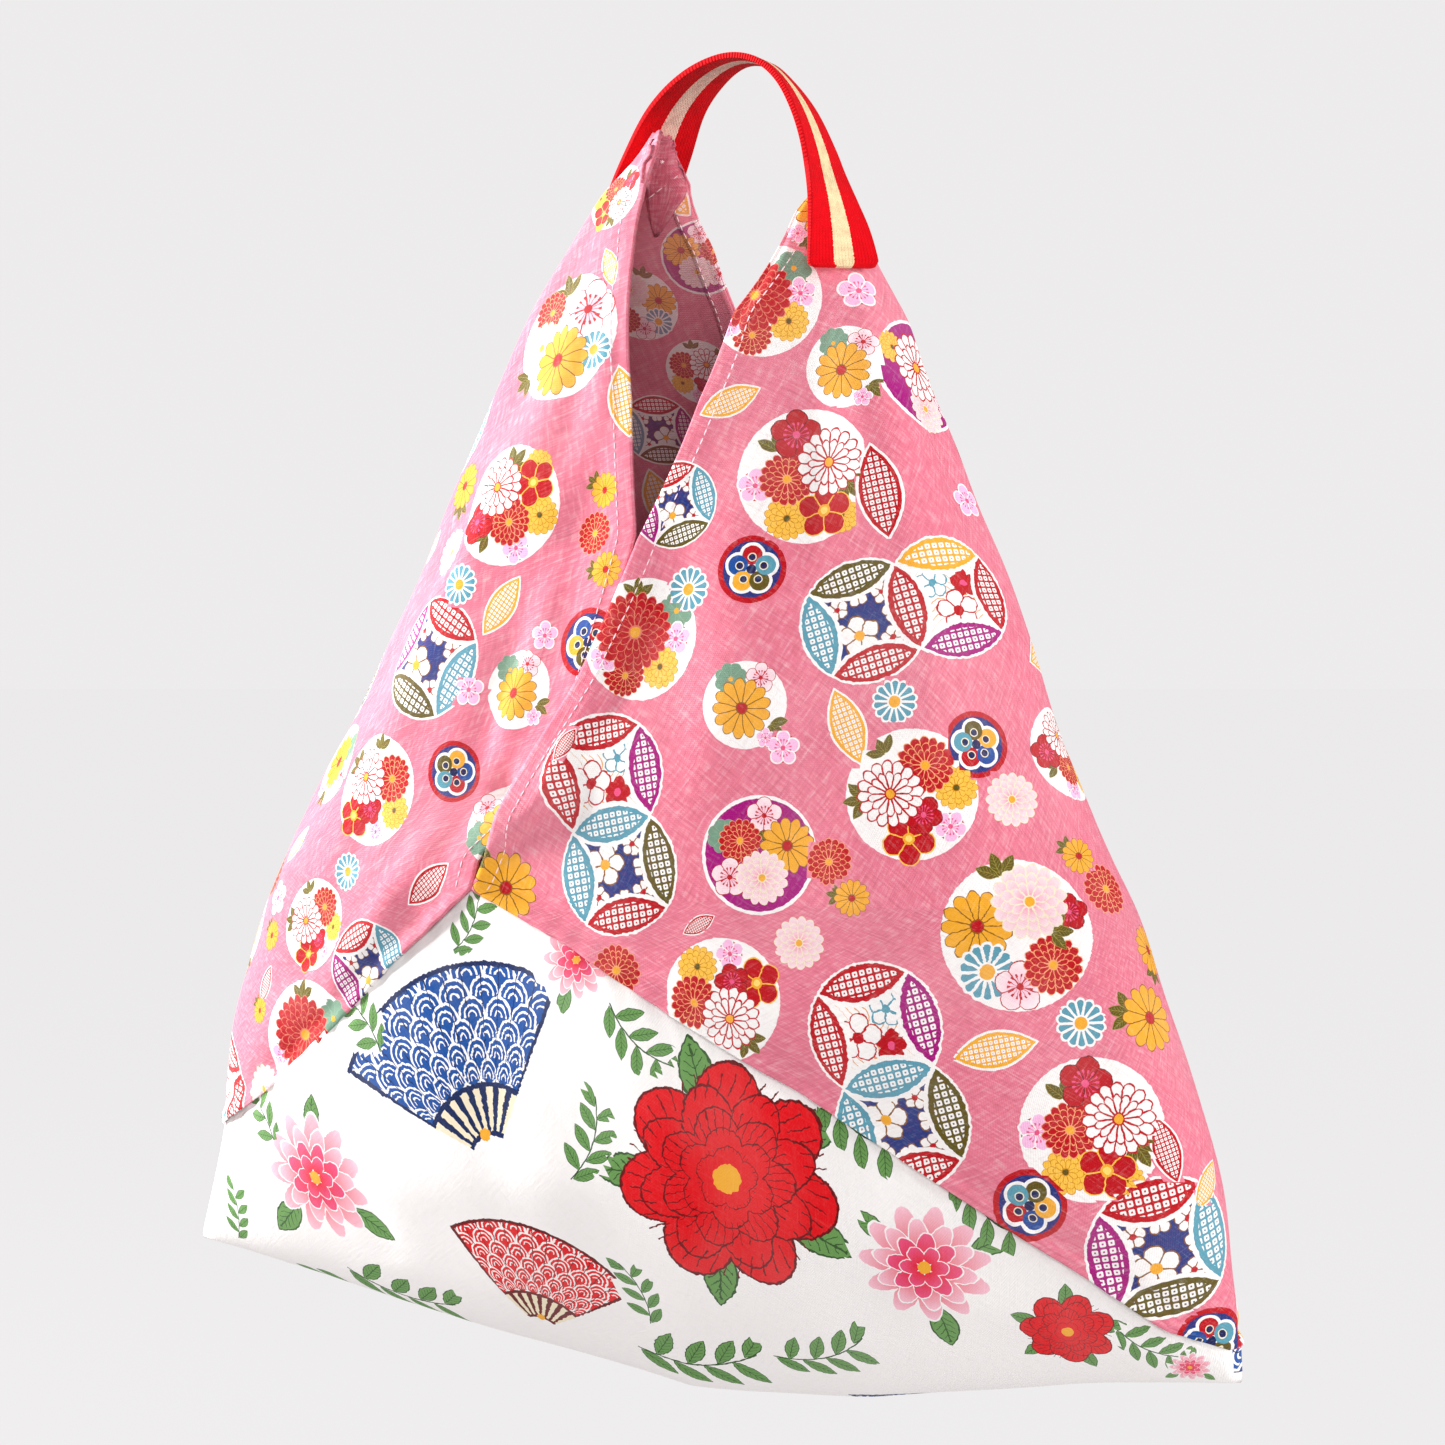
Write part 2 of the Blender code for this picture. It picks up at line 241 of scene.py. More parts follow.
def curved(table, key, column):
    """Smooth reading of a table whose first column rises: a cubic through its rows."""
    rows = np.array(table)
    keys, values = rows[:, 0], rows[:, column]
    last = len(keys) - 1
    low = np.maximum(np.arange(last + 1) - 1, 0)
    high = np.minimum(np.arange(last + 1) + 1, last)
    slopes = (values[high] - values[low]) / (keys[high] - keys[low])
    key = np.clip(key, keys[0], keys[-1])
    i = np.clip(np.searchsorted(keys, key, side="right") - 1, 0, last - 1)
    span = keys[i + 1] - keys[i]
    s = (key - keys[i]) / span
    return ((2 * s**3 - 3 * s**2 + 1) * values[i] + (s**3 - 2 * s**2 + s) * slopes[i] * span
            + (3 * s**2 - 2 * s**3) * values[i + 1] + (s**3 - s**2) * slopes[i + 1] * span)


def smooth_step(value):
    value = np.clip(value, 0.0, 1.0)
    return value * value * (3.0 - 2.0 * value)


def swell(distance, rise, middle, reach):
    """A soft hump at a middle distance, or a hollow where rise is below zero."""
    return rise * np.exp(-((distance - middle) / reach) ** 2)


def outline(height):
    share = height / BODY_HEIGHT
    left = curved(LEFT_OUTLINE, share, 1) * BODY_WIDTH
    right = curved(RIGHT_OUTLINE, share, 1) * BODY_WIDTH
    return left, right


def body_point(across, height, side, lift=0.0):
    """Points of the inner face of the cloth. side is -1 in front and 1 behind."""
    left, right = outline(height)
    x = (left + right) / 2 + (right - left) / 2 * across
    share = height / BODY_HEIGHT
    front = FRONT_DEPTH * curved(FULLNESS, share, 1)
    back = BACK_DEPTH * curved(FULLNESS, share, 2)
    depth = np.where(side < 0, front, back)
    section = np.maximum(1.0 - np.abs(across) ** ROUNDNESS, 0.0) ** (1.0 / ROUNDNESS)
    fold = linear(BOTTOM_FOLD, across, 0, key_column=1) * BODY_HEIGHT
    rise = np.clip((height - fold) / BOTTOM_ROUND, 0.0, 1.0)
    bottom = np.sqrt(np.maximum(1.0 - (1.0 - rise) ** 2, 0.0))
    y = -TURN * x + side * (depth * section * bottom + lift)
    return np.stack([x, y, height + 0.0 * x], axis=-1) - np.array(HANG)


def lap_lift(across, height, side):
    """How far the upper layer of a lap is raised: the right wing in front, the left behind."""
    left, right = outline(height)
    share = height / BODY_HEIGHT
    half = (right - left) / 2
    front_right, front_left = linear(FRONT_RIGHT_HEM, share), linear(FRONT_LEFT_HEM, share)
    back_right, back_left = linear(BACK_RIGHT_HEM, share), linear(BACK_LEFT_HEM, share)
    lap = np.where(side < 0, front_left - front_right, back_left - back_right) * half
    inside = np.where(side < 0, across - front_right, back_left - across) * half
    fade = smooth_step((lap + LAP_FADE - inside) / LAP_FADE)
    start = smooth_step((lap + LAP_START) / LAP_RAMP) * (share > FRONT_VALLEY[0])
    pocket = swell(share, POCKET_RISE, POCKET_PLACE, POCKET_REACH)
    return (LAP_RISE + np.where(side < 0, pocket, 0.0)) * fade * start


# %% [markdown]
# A grid carries the cloth. Its columns run round the bag, from the front edge over the outline
# to the back edge, and its rows run from the bottom corner to the peak. The first rows end on
# the seams and the others on the hems, so the edges of the grid are the real edges of the
# cloth, with no trimming. The columns crowd together near the edges, where the seams and hems
# need finer steps. A second array keeps each point's place on the flat square, whose threads
# run along its sides, for the weave.

# %% Grids of the three squares
SEAM_SHARE = 14 / 30      # of the rows of a wing, those beside the base
WING_COLUMNS, WING_ROWS = 120, 150
BASE_COLUMNS, BASE_ROWS = 150, 120
SEAM_ROW = round(SEAM_SHARE * WING_ROWS)
CROWDING = 0.6
SEAM_TUCK = 0.0028        # the base's edge runs on, under the wing


def edge(up, corner, seam, hem):
    """Place across and height share on a wing's edge, from its corner over the valley to the peak."""
    valley = hem[0]
    across = corner[1] + (valley[1] - corner[1]) * up / SEAM_SHARE
    height = linear(seam, across, 0, key_column=1)
    share = valley[0] + (hem[-1][0] - valley[0]) * (up - SEAM_SHARE) / (1 - SEAM_SHARE)
    on_seam = up <= SEAM_SHARE
    return np.where(on_seam, across, linear(hem, share)), np.where(on_seam, height, share)


def wing_points(along, up, which):
    if which == "left":
        front = edge(up, LEFT_CORNER, FRONT_LEFT_SEAM, FRONT_LEFT_HEM)
        back = edge(up, LEFT_CORNER, BACK_LEFT_SEAM, BACK_LEFT_HEM)
        facing = -1
    else:
        front = edge(up, RIGHT_CORNER, FRONT_RIGHT_SEAM, FRONT_RIGHT_HEM)
        back = edge(up, RIGHT_CORNER, BACK_RIGHT_SEAM, BACK_RIGHT_HEM)
        facing = 1
    front_angle = np.arccos(np.clip(facing * front[0], -1.0, 1.0))
    back_angle = np.arccos(np.clip(facing * back[0], -1.0, 1.0))
    angle = front_angle - (front_angle + back_angle) * along
    height = (front[1] + (back[1] - front[1]) * smooth_step(along)) * BODY_HEIGHT
    side = np.where(angle > 0, -1, 1)
    across = facing * np.cos(angle)
    upper = (side < 0) if which == "right" else (side > 0)
    lift = np.where(upper, lap_lift(across, height, side), 0.0)
    return body_point(across, height, side, lift)


def base_points(along, round_it):
    up = np.where(along <= 0.5, along * 2, 2 - along * 2) * SEAM_SHARE
    left_front = edge(up, LEFT_CORNER, FRONT_LEFT_SEAM, FRONT_LEFT_HEM)
    left_back = edge(up, LEFT_CORNER, BACK_LEFT_SEAM, BACK_LEFT_HEM)
    right_front = edge(up, RIGHT_CORNER, FRONT_RIGHT_SEAM, FRONT_LEFT_HEM)
    right_back = edge(up, RIGHT_CORNER, BACK_RIGHT_SEAM, BACK_LEFT_HEM)
    on_left = along <= 0.5
    front = [np.where(on_left, a, b) for a, b in zip(left_front, right_front)]
    back = [np.where(on_left, a, b) for a, b in zip(left_back, right_back)]
    side = np.where(round_it < 0.5, -1, 1)
    rim_across = np.where(side < 0, front[0], back[0])
    rim_height = np.where(side < 0, front[1], back[1]) * BODY_HEIGHT + SEAM_TUCK
    fold_across = (front[0] + back[0]) / 2
    climb = 1.0 - np.cos(np.abs(round_it - 0.5) * math.pi)
    across = fold_across + (rim_across - fold_across) * climb
    low = linear(BOTTOM_FOLD, fold_across, 0, key_column=1) * BODY_HEIGHT
    return body_point(across, low + (rim_height - low) * climb, side)


def shares(count, crowding):
    """Even steps from 0 to 1, or steps that crowd together at both ends."""
    even = np.linspace(0, 1, count + 1)
    return even - crowding * np.sin(2 * math.pi * even) / (2 * math.pi)


def threads(lengthwise, crosswise, corner_share):
    """Place on the flat square in metres, for a grid that runs from one corner to the opposite one."""
    near = lengthwise / corner_share / 2
    far = 0.5 + (lengthwise - corner_share) / (1 - corner_share) / 2
    share = np.where(lengthwise <= corner_share, near, far)
    diagonal = share * CLOTH_SIDE * math.sqrt(2)
    aside = (crosswise * 2 - 1) * np.minimum(share, 1 - share) * CLOTH_SIDE * math.sqrt(2)
    return np.stack([diagonal + aside, diagonal - aside], axis=-1) / math.sqrt(2)


def normals(points):
    cross = np.cross(np.gradient(points, axis=0), np.gradient(points, axis=1))
    return cross / np.maximum(np.linalg.norm(cross, axis=-1, keepdims=True), 1e-9)


def lay_grid(points):
    """Blender's grid with its corners laid on worked out points, and which of them each took."""
    columns, rows = points.shape[0] - 1, points.shape[1] - 1
    mesh = bmesh.new()
    bmesh.ops.create_grid(mesh, x_segments=columns, y_segments=rows, size=0.5)
    spot = np.array([vertex.co[:2] for vertex in mesh.verts]) + 0.5
    i = np.rint(spot[:, 0] * columns).astype(int)
    j = np.rint(spot[:, 1] * rows).astype(int)
    for vertex, place in zip(mesh.verts, points[i, j]):
        vertex.co = place
    return mesh, i, j


class Panel:
    """A piece of cloth: its points, its place on the flat square, and the motifs on it."""

    def __init__(self, name, points, cloth, flip, motifs=()):
        self.name, self.points, self.cloth, self.flip = name, points, cloth, flip
        self.outward = normals(points) * (-1 if flip else 1)
        self.motifs = list(motifs)

    def tree(self):
        mesh, _, _ = lay_grid(self.points)
        tree = BVHTree.FromBMesh(mesh)
        mesh.free()
        return tree

    def seen_at(self, px, py, tree):
        """Where the camera's line through a pixel meets the panel: place, outward normal, distance."""
        place, _, _, distance = tree.ray_cast(camera_place, sight(px, py))
        if place is None:
            return None
        nearest = np.argmin(np.linalg.norm(self.points.reshape(-1, 3) - np.array(place), axis=1))
        return np.array(place), self.outward.reshape(-1, 3)[nearest], distance


# %% [markdown]
# Cotton that hangs from two points isn't smooth. Long soft folds run down from the peaks, the
# base is drawn in where it is sewn, the wings lie over that seam as a low welt, and the seam
# puckers a little. Each of these is a small move along the cloth's own normal, worked out from
# the distance to the seam, the peak or a fold's line. The folds that show in front are placed
# by two pixels of the picture each.

# %% Folds of the cloth
# Columns: start across and down, end across and down, half width and rise in metres
FOLDS = {
    "right": (
        (868, 300, 940, 780, 0.014, 0.0042), (826, 290, 800, 600, 0.011, -0.0034),
        (760, 420, 700, 900, 0.016, 0.0026), (960, 620, 1120, 1130, 0.018, -0.0034),
        (690, 560, 560, 850, 0.010, -0.0026), (850, 760, 900, 1100, 0.020, 0.0028),
        (560, 880, 800, 1060, 0.012, 0.0024), (1060, 900, 1190, 1230, 0.014, 0.0030),
        (900, 330, 1010, 640, 0.010, -0.0026), (520, 850, 640, 700, 0.007, 0.0022)),
    "left": (
        (600, 300, 330, 930, 0.015, 0.0042), (620, 430, 440, 860, 0.012, -0.0046),
        (566, 540, 486, 790, 0.008, 0.0044), (500, 480, 300, 840, 0.011, -0.0028),
        (400, 900, 250, 1060, 0.010, 0.0026), (620, 240, 560, 480, 0.008, -0.0022),
        (460, 800, 330, 1000, 0.008, 0.0034), (430, 720, 300, 980, 0.009, -0.0030)),
    "base": (
        (478, 905, 520, 1240, 0.016, -0.0022), (240, 1160, 620, 1180, 0.014, 0.0020),
        (600, 985, 760, 1330, 0.018, 0.0022), (850, 1140, 880, 1340, 0.016, -0.0020),
        (1210, 1365, 820, 1240, 0.012, 0.0018), (330, 1070, 400, 1260, 0.012, -0.0014))}
DIMPLE_PIXEL = (500, 792)      # on the left wing, under the right one's hem
# Columns: rise, middle distance and reach, for swell
DIMPLE = (-0.009, 0.0, 0.009)
SEAM_WELT = (0.0007, 0.0015, 0.003)
SEAM_FURROW = (-0.0008, 0.008, 0.004)
TUCKED_EDGE = (-0.0017, 0.0, 0.0030)
PEAK_RAYS = (0.0018, 0.09, 0.07)
RAY_START = {"left": 0.6, "right": 2.2}
PUCKER_MIDDLE, PUCKER_REACH = 0.004, 0.008
# Columns: seed, wave length and height in metres
RIPPLES = {
    "left": ((3, 0.12, 0.0016), (5, 0.048, 0.0005)),
    "right": ((8, 0.12, 0.0016), (9, 0.048, 0.0005)),
    "base": ((12, 0.12, 0.0016), (14, 0.05, 0.0004))}
CALM_EDGE = 0.05          # share of a panel's width over which the moves die out


def ripple(points, seed, length, height):
    """Soft unevenness: a few waves in seeded directions."""
    rng = np.random.default_rng(seed)
    total = np.zeros(points.shape[:-1])
    for _ in range(5):
        direction = rng.normal(size=3)
        direction *= 2 * math.pi / np.linalg.norm(direction) / (length * rng.uniform(0.7, 1.4))
        total += np.sin(points @ direction + rng.uniform(0, 2 * math.pi))
    return total * height / 2.5


def distance_to(points, line):
    """Distance of every point from the nearest of a line's points."""
    best = np.full(points.shape[:-1], 1e9)
    for place in line:
        best = np.minimum(best, np.linalg.norm(points - place, axis=-1))
    return best


def fold(points, start, end, width, rise):
    """A soft fold between two places: a ridge, or a valley where rise is below zero."""
    way = end - start
    share = np.clip(((points - start) @ way) / (way @ way), 0, 1)
    away = np.linalg.norm(points - start - share[..., None] * way, axis=-1)
    return swell(away, rise, 0.0, width) * np.sqrt(np.sin(math.pi * share) + 1e-9)


def pucker(points, axis, near_seam, pitch, rise):
    """Small gathers beside a seam, a pitch apart."""
    steps = np.linalg.norm(np.diff(points, axis=axis), axis=-1)
    run = np.cumsum(steps, axis=axis)
    run = np.concatenate([np.take(run, [0], axis=axis) * 0, run], axis=axis)
    wave = np.sin(run * 2 * math.pi / pitch + 2.0 * np.sin(run * 55.0))
    return wave * swell(near_seam, rise, PUCKER_MIDDLE, PUCKER_REACH)


def soft_moves(panel, tree, which):
    """Ripples of a panel, and its folds whose two ends are both seen on it."""
    move = 0.0
    for row in RIPPLES[which]:
        move = move + ripple(panel.points, *row)
    for x0, y0, x1, y1, width, rise in FOLDS[which]:
        start, end = panel.seen_at(x0, y0, tree), panel.seen_at(x1, y1, tree)
        if start and end:
            move = move + fold(panel.points, start[0], end[0], width, rise)
    return move


def fold_wing(panel, along, up, which):
    points, tree = panel.points, panel.tree()
    seam = np.concatenate([points[0, :SEAM_ROW], points[-1, :SEAM_ROW]])
    near_seam = distance_to(points, seam)
    move = swell(near_seam, *SEAM_WELT) + swell(near_seam, *SEAM_FURROW)
    move += pucker(points, 1, near_seam, 0.012, 0.00045)
    peak = points[points.shape[0] // 2, -1]
    below = np.linalg.norm(points - peak, axis=-1)
    move += np.sin(along * 2 * math.pi * 3.0 + RAY_START[which]) * swell(below, *PEAK_RAYS)
    move += soft_moves(panel, tree, which)
    hollow = panel.seen_at(*DIMPLE_PIXEL, tree) if which == "left" else None
    if hollow:
        move += swell(np.linalg.norm(points - hollow[0], axis=-1), *DIMPLE)
    calm = smooth_step(np.minimum(along, 1 - along) / CALM_EDGE) + (up < SEAM_SHARE)
    return points + panel.outward * (move * np.clip(calm, 0.3, 1.0))[..., None]


def fold_base(panel, along):
    points, tree = panel.points, panel.tree()
    near_seam = distance_to(points, np.concatenate([points[:, 0], points[:, -1]]))
    past_tuck = np.maximum(near_seam - SEAM_TUCK - 0.0004, 0.0)
    move = swell(past_tuck, *TUCKED_EDGE) + pucker(points, 0, near_seam, 0.013, 0.0004)
    move += soft_moves(panel, tree, "base")
    calm = smooth_step(np.minimum(along, 1 - along) / CALM_EDGE)
    return points + panel.outward * (move * calm)[..., None]


# %% Lay out the three squares
def wing_panel(which, flip):
    columns, rows = shares(WING_COLUMNS, CROWDING), shares(WING_ROWS, 0.0)
    along, up = np.meshgrid(columns, rows, indexing="ij")
    cloth = threads(up, along, SEAM_SHARE)
    smooth = Panel("", wing_points(along, up, which), cloth, flip)
    return Panel(which + "_wing_cloth", fold_wing(smooth, along, up, which), cloth, flip)


def base_panel(flip):
    columns, rows = shares(BASE_COLUMNS, 0.0), shares(BASE_ROWS, CROWDING)
    along, round_it = np.meshgrid(columns, rows, indexing="ij")
    cloth = threads(along, round_it, 0.5)
    smooth = Panel("", base_points(along, round_it), cloth, flip)
    return Panel("base_cloth", fold_base(smooth, along), cloth, flip)


left_wing = wing_panel("left", True)
right_wing = wing_panel("right", False)
base = base_panel(True)
for panel in (left_wing, right_wing, base):
    print(panel.name, "points:", panel.points.shape[0] * panel.points.shape[1])

# %% [markdown]
# Every motif of the print is drawn by a material of its own, in a circle of radius one. So
# each face of the cloth has to know which motif it belongs to and where it lies in it. The
# motifs that show from the front are placed one by one, as the cloth shows them. A regular
# repeat, large motifs first and small ones between them, fills the rest.

# %% Where the motifs lie
# Rows of each motif: place in the picture across and down, radius in pixels, turn in degrees
FRONT_PRINT = {
    "round_harvest": ((808, 478, 70, 0), (508, 505, 62, 100), (1092, 1130, 72, -8),
        (1062, 755, 50, 60), (618, 198, 36, -60)),
    "round_ruby": ((375, 790, 56, 0), (912, 795, 66, 40), (722, 1000, 62, 160),
        (318, 925, 46, 30), (700, 372, 36, 0)),
    "round_crown": ((645, 640, 62, 0), (765, 300, 58, 10)),
    "round_gold": ((565, 337, 68, 0), (285, 1072, 40, 0)),
    "round_dawn": ((1017, 935, 76, 0), (640, 305, 40, 0)),
    "round_magenta": ((916, 378, 60, 0),),
    "round_violet": ((760, 855, 60, 0), (700, 258, 40, 0)),
    "oval_gold": ((745, 705, 44, 0), (845, 367, 42, 0), (517, 690, 40, 10)),
    "linked_pair": ((612, 824, 114, -77), (888, 1078, 120, -74)),
    "linked_row": ((908, 606, 114, 16),),
    "linked": ((428, 657, 64, -28), (1162, 1250, 78, 15), (676, 505, 46, 20), (372, 968, 50, 30),
        (660, 430, 40, 0)),
    "pansy": ((752, 570, 35, 0), (455, 772, 31, 200), (975, 745, 34, 150), (1030, 1205, 37, 120),
        (262, 1108, 22, 150)),
    "daisy_teal": ((461, 585, 22, 0), (690, 590, 25, 0), (895, 702, 24, 0), (350, 872, 20, 0)),
    "daisy_gold": ((505, 886, 44, 0), (1146, 1018, 40, 20), (606, 490, 22, 10),
        (606, 570, 22, 40), (1076, 856, 22, 0), (851, 898, 22, 30), (274, 935, 18, 0),
        (262, 1010, 16, 0)),
    "mum_red": ((597, 534, 24, 0), (1104, 890, 28, 0), (830, 862, 25, 0)),
    "mum_pale": ((800, 943, 28, 0),),
    "plum_pale": ((965, 502, 20, 0), (784, 748, 19, 0), (546, 636, 16, 0), (858, 292, 22, 0),
        (470, 690, 18, 0)),
    "leaf": ((731, 402, 34, 24), (503, 606, 36, 58), (848, 727, 42, -68), (995, 1050, 44, 12),
        (612, 268, 24, -60), (300, 845, 24, 60), (1205, 1185, 30, 50), (436, 548, 20, 70)),
    "leaf_red": ((880, 492, 52, -76), (566, 745, 20, 60), (430, 884, 34, 40),
        (1166, 1150, 36, -72), (700, 925, 20, 30), (268, 985, 22, 70))}
BASE_PRINT = {
    "peony": ((728, 1178, 150, 10), (1068, 1330, 60, 200)),
    "fan_blue": ((462, 1066, 128, 22),),
    "dahlia": ((318, 1180, 88, 0), (928, 1268, 88, 60), (578, 962, 50, 30), (1190, 1366, 26, 0)),
    "fan_red": ((540, 1282, 92, -16),),
    "sprig": ((262, 1112, 46, 128), (405, 1290, 74, -16), (640, 1040, 54, -40),
        (700, 1358, 76, 6), (862, 1128, 60, -34), (990, 1212, 56, -40), (822, 1352, 60, 20),
        (1150, 1345, 44, -30), (238, 1212, 34, 80), (470, 925, 40, 60), (362, 1020, 48, 140),
        (590, 1140, 52, 70), (640, 1292, 44, 100))}
# Radius in metres of each motif where the repeat places it
MOTIF_SIZE = {
    "linked_pair": 0.046, "round_harvest": 0.029, "round_magenta": 0.026, "linked_row": 0.046,
    "round_ruby": 0.026, "round_dawn": 0.030, "round_crown": 0.026, "linked": 0.027,
    "round_violet": 0.025, "round_gold": 0.028, "oval_gold": 0.018, "pansy": 0.014, "leaf": 0.016,
    "daisy_gold": 0.012, "leaf_red": 0.018, "mum_red": 0.011, "daisy_teal": 0.010,
    "plum_pale": 0.008, "mum_pale": 0.011}
DESIGN_SIZE = {
    "peony": 0.054, "fan_blue": 0.050, "fan_red": 0.040, "dahlia": 0.036, "sprig": 0.025}
# Height of the long motifs as a share of their width
MOTIF_HEIGHT = {
    "leaf": 0.50, "leaf_red": 0.50, "linked_pair": 0.60, "linked_row": 0.60, "sprig": 0.60}
REPEAT_TRIES = 3000
REPEAT_MARGIN = slice(3, -3)      # grid rows and columns at the edges where no motif is centred
SAME_SIDE = -0.2                  # a near motif whose normal agrees less is on the other side


def place_motif(kind, centre, normal, radius, turn):
    """A motif with its two directions on the cloth: upright, then turned."""
    up = np.array((0.0, 0.0, 1.0)) - normal * normal[2]
    if np.linalg.norm(up) < 0.15:
        up = np.array((0.0, 1.0, 0.0)) - normal * normal[1]
    up /= np.linalg.norm(up)
    right = np.cross(up, normal)
    angle = math.radians(turn)
    x_way = right * math.cos(angle) + up * math.sin(angle)
    y_way = up * math.cos(angle) - right * math.sin(angle)
    return kind, centre, normal, radius, x_way, y_way


def place_seen_motifs(panels, table):
    trees = [(panel, panel.tree()) for panel in panels]
    rows = [(kind, *row) for kind, places in table.items() for row in places]
    for kind, px, py, radius, turn in rows:
        hits = [(panel, panel.seen_at(px, py, tree)) for panel, tree in trees]
        hits = [(panel, hit) for panel, hit in hits if hit]
        if not hits:
            print("motif off the cloth:", kind, px, py)
            continue
        panel, (place, normal, distance) = min(hits, key=lambda found: found[1][2])
        size = radius * distance / FOCAL_PIXELS
        panel.motifs.append(place_motif(kind, place, normal, size, turn))


def repeat_motifs(panel, sizes, spacing, seed):
    """Fill what the listed motifs leave, the largest motifs first."""
    rng = np.random.default_rng(seed)
    flat = panel.points[REPEAT_MARGIN, REPEAT_MARGIN].reshape(-1, 3)
    ways = panel.outward[REPEAT_MARGIN, REPEAT_MARGIN].reshape(-1, 3)
    order = rng.permutation(len(flat))[:REPEAT_TRIES]
    bands = sorted({round(size, 2) for size in sizes.values()}, reverse=True)
    for band in bands:
        kinds = [kind for kind, size in sizes.items() if round(size, 2) == band]
        used = 0
        for index in order:
            kind = kinds[used % len(kinds)]
            place, way, size = flat[index], ways[index], sizes[kind]
            centres = np.array([other[1] for other in panel.motifs])
            facings = np.array([other[2] for other in panel.motifs])
            radii = np.array([other[3] for other in panel.motifs])
            near = np.linalg.norm(centres - place, axis=1) <= (radii + size) * spacing
            if not (near & (facings @ way > SAME_SIDE)).any():
                turn = float(rng.uniform(0, 360))
                panel.motifs.append(place_motif(kind, place, way, size, turn))
                used += 1


place_seen_motifs([left_wing, right_wing, base], FRONT_PRINT)
place_seen_motifs([base], BASE_PRINT)
base.motifs = [motif for motif in base.motifs if motif[0] in DESIGN_SIZE]
repeat_motifs(left_wing, MOTIF_SIZE, 1.0, 21)
repeat_motifs(right_wing, MOTIF_SIZE, 1.0, 22)
repeat_motifs(base, DESIGN_SIZE, 1.02, 23)
for panel in (left_wing, right_wing, base):
    print(panel.name, "motifs:", len(panel.motifs))

# %% [markdown]
# The colours of a print are flat, so a motif can be drawn with masks: where a mask is one, a
# colour is laid over what is there. A small class lets the masks be written as sums and
# products in place of long lists of Math nodes.

# %% Shader maths
def maths(operation):
    """A method that makes the Math node of one operation."""
    return lambda self, *others: self.math(operation, *others)


class Value:
    """A number socket of a material, with Python's operators."""

    def __init__(self, art, socket):
        self.art, self.socket = art, socket

    def math(self, operation, *others):
        return self.art.node("ShaderNodeMath", {"operation": operation}, [self, *others])

    def __rsub__(self, other):
        return self.art.node("ShaderNodeMath", {"operation": "SUBTRACT"}, [other, self])

    def over(self, level, gain):
        return (self - level).most(0.0) * gain

    def under(self, level, gain):
        return (level - self).most(0.0) * gain

    __add__ = __radd__ = maths("ADD")
    __sub__ = maths("SUBTRACT")
    __mul__ = __rmul__ = maths("MULTIPLY")
    __abs__ = maths("ABSOLUTE")
    __lt__ = maths("LESS_THAN")
    __gt__ = maths("GREATER_THAN")
    fract = maths("FRACT")
    floor = maths("FLOOR")
    sin = maths("SINE")
    cos = maths("COSINE")
    root = maths("SQRT")
    least = maths("MINIMUM")
    most = maths("MAXIMUM")


def colour_of(red, green, blue):
    """A colour as the eye names it, 0 to 255, made linear for the shader."""
    return tuple((value / 255) ** 2.2 for value in (red, green, blue)) + (1.0,)


PINK = colour_of(228, 122, 143)
PALE_PINK = colour_of(248, 196, 212)
CRIMSON = colour_of(184, 6, 24)
GOLD = colour_of(240, 168, 44)
BROWN = colour_of(132, 84, 12)
TEAL = colour_of(84, 152, 172)
OLIVE = colour_of(92, 82, 20)
NAVY = colour_of(30, 52, 120)
MAGENTA = colour_of(160, 4, 118)
SAGE = colour_of(112, 150, 126)
WHITE = colour_of(246, 242, 240)
CREAM = colour_of(240, 226, 196)
SCARLET = colour_of(222, 4, 24)
MAROON = colour_of(104, 0, 14)
ROYAL = colour_of(8, 76, 150)
DEEP_BLUE = colour_of(8, 36, 84)
LEAF_GREEN = colour_of(104, 150, 82)
STEM_GREEN = colour_of(54, 86, 46)
ROSE = colour_of(232, 84, 130)
DUSTY = colour_of(216, 132, 142)
HONEY = colour_of(246, 190, 70)

REVERSE_FADE = "reverse_fade"      # name of the node that dulls the other side of the cloth
THREAD_PITCH = 0.0010
UNDER_INK, OVER_INK = 0.65, 0.35   # shares of the slubs that lie under and over the print


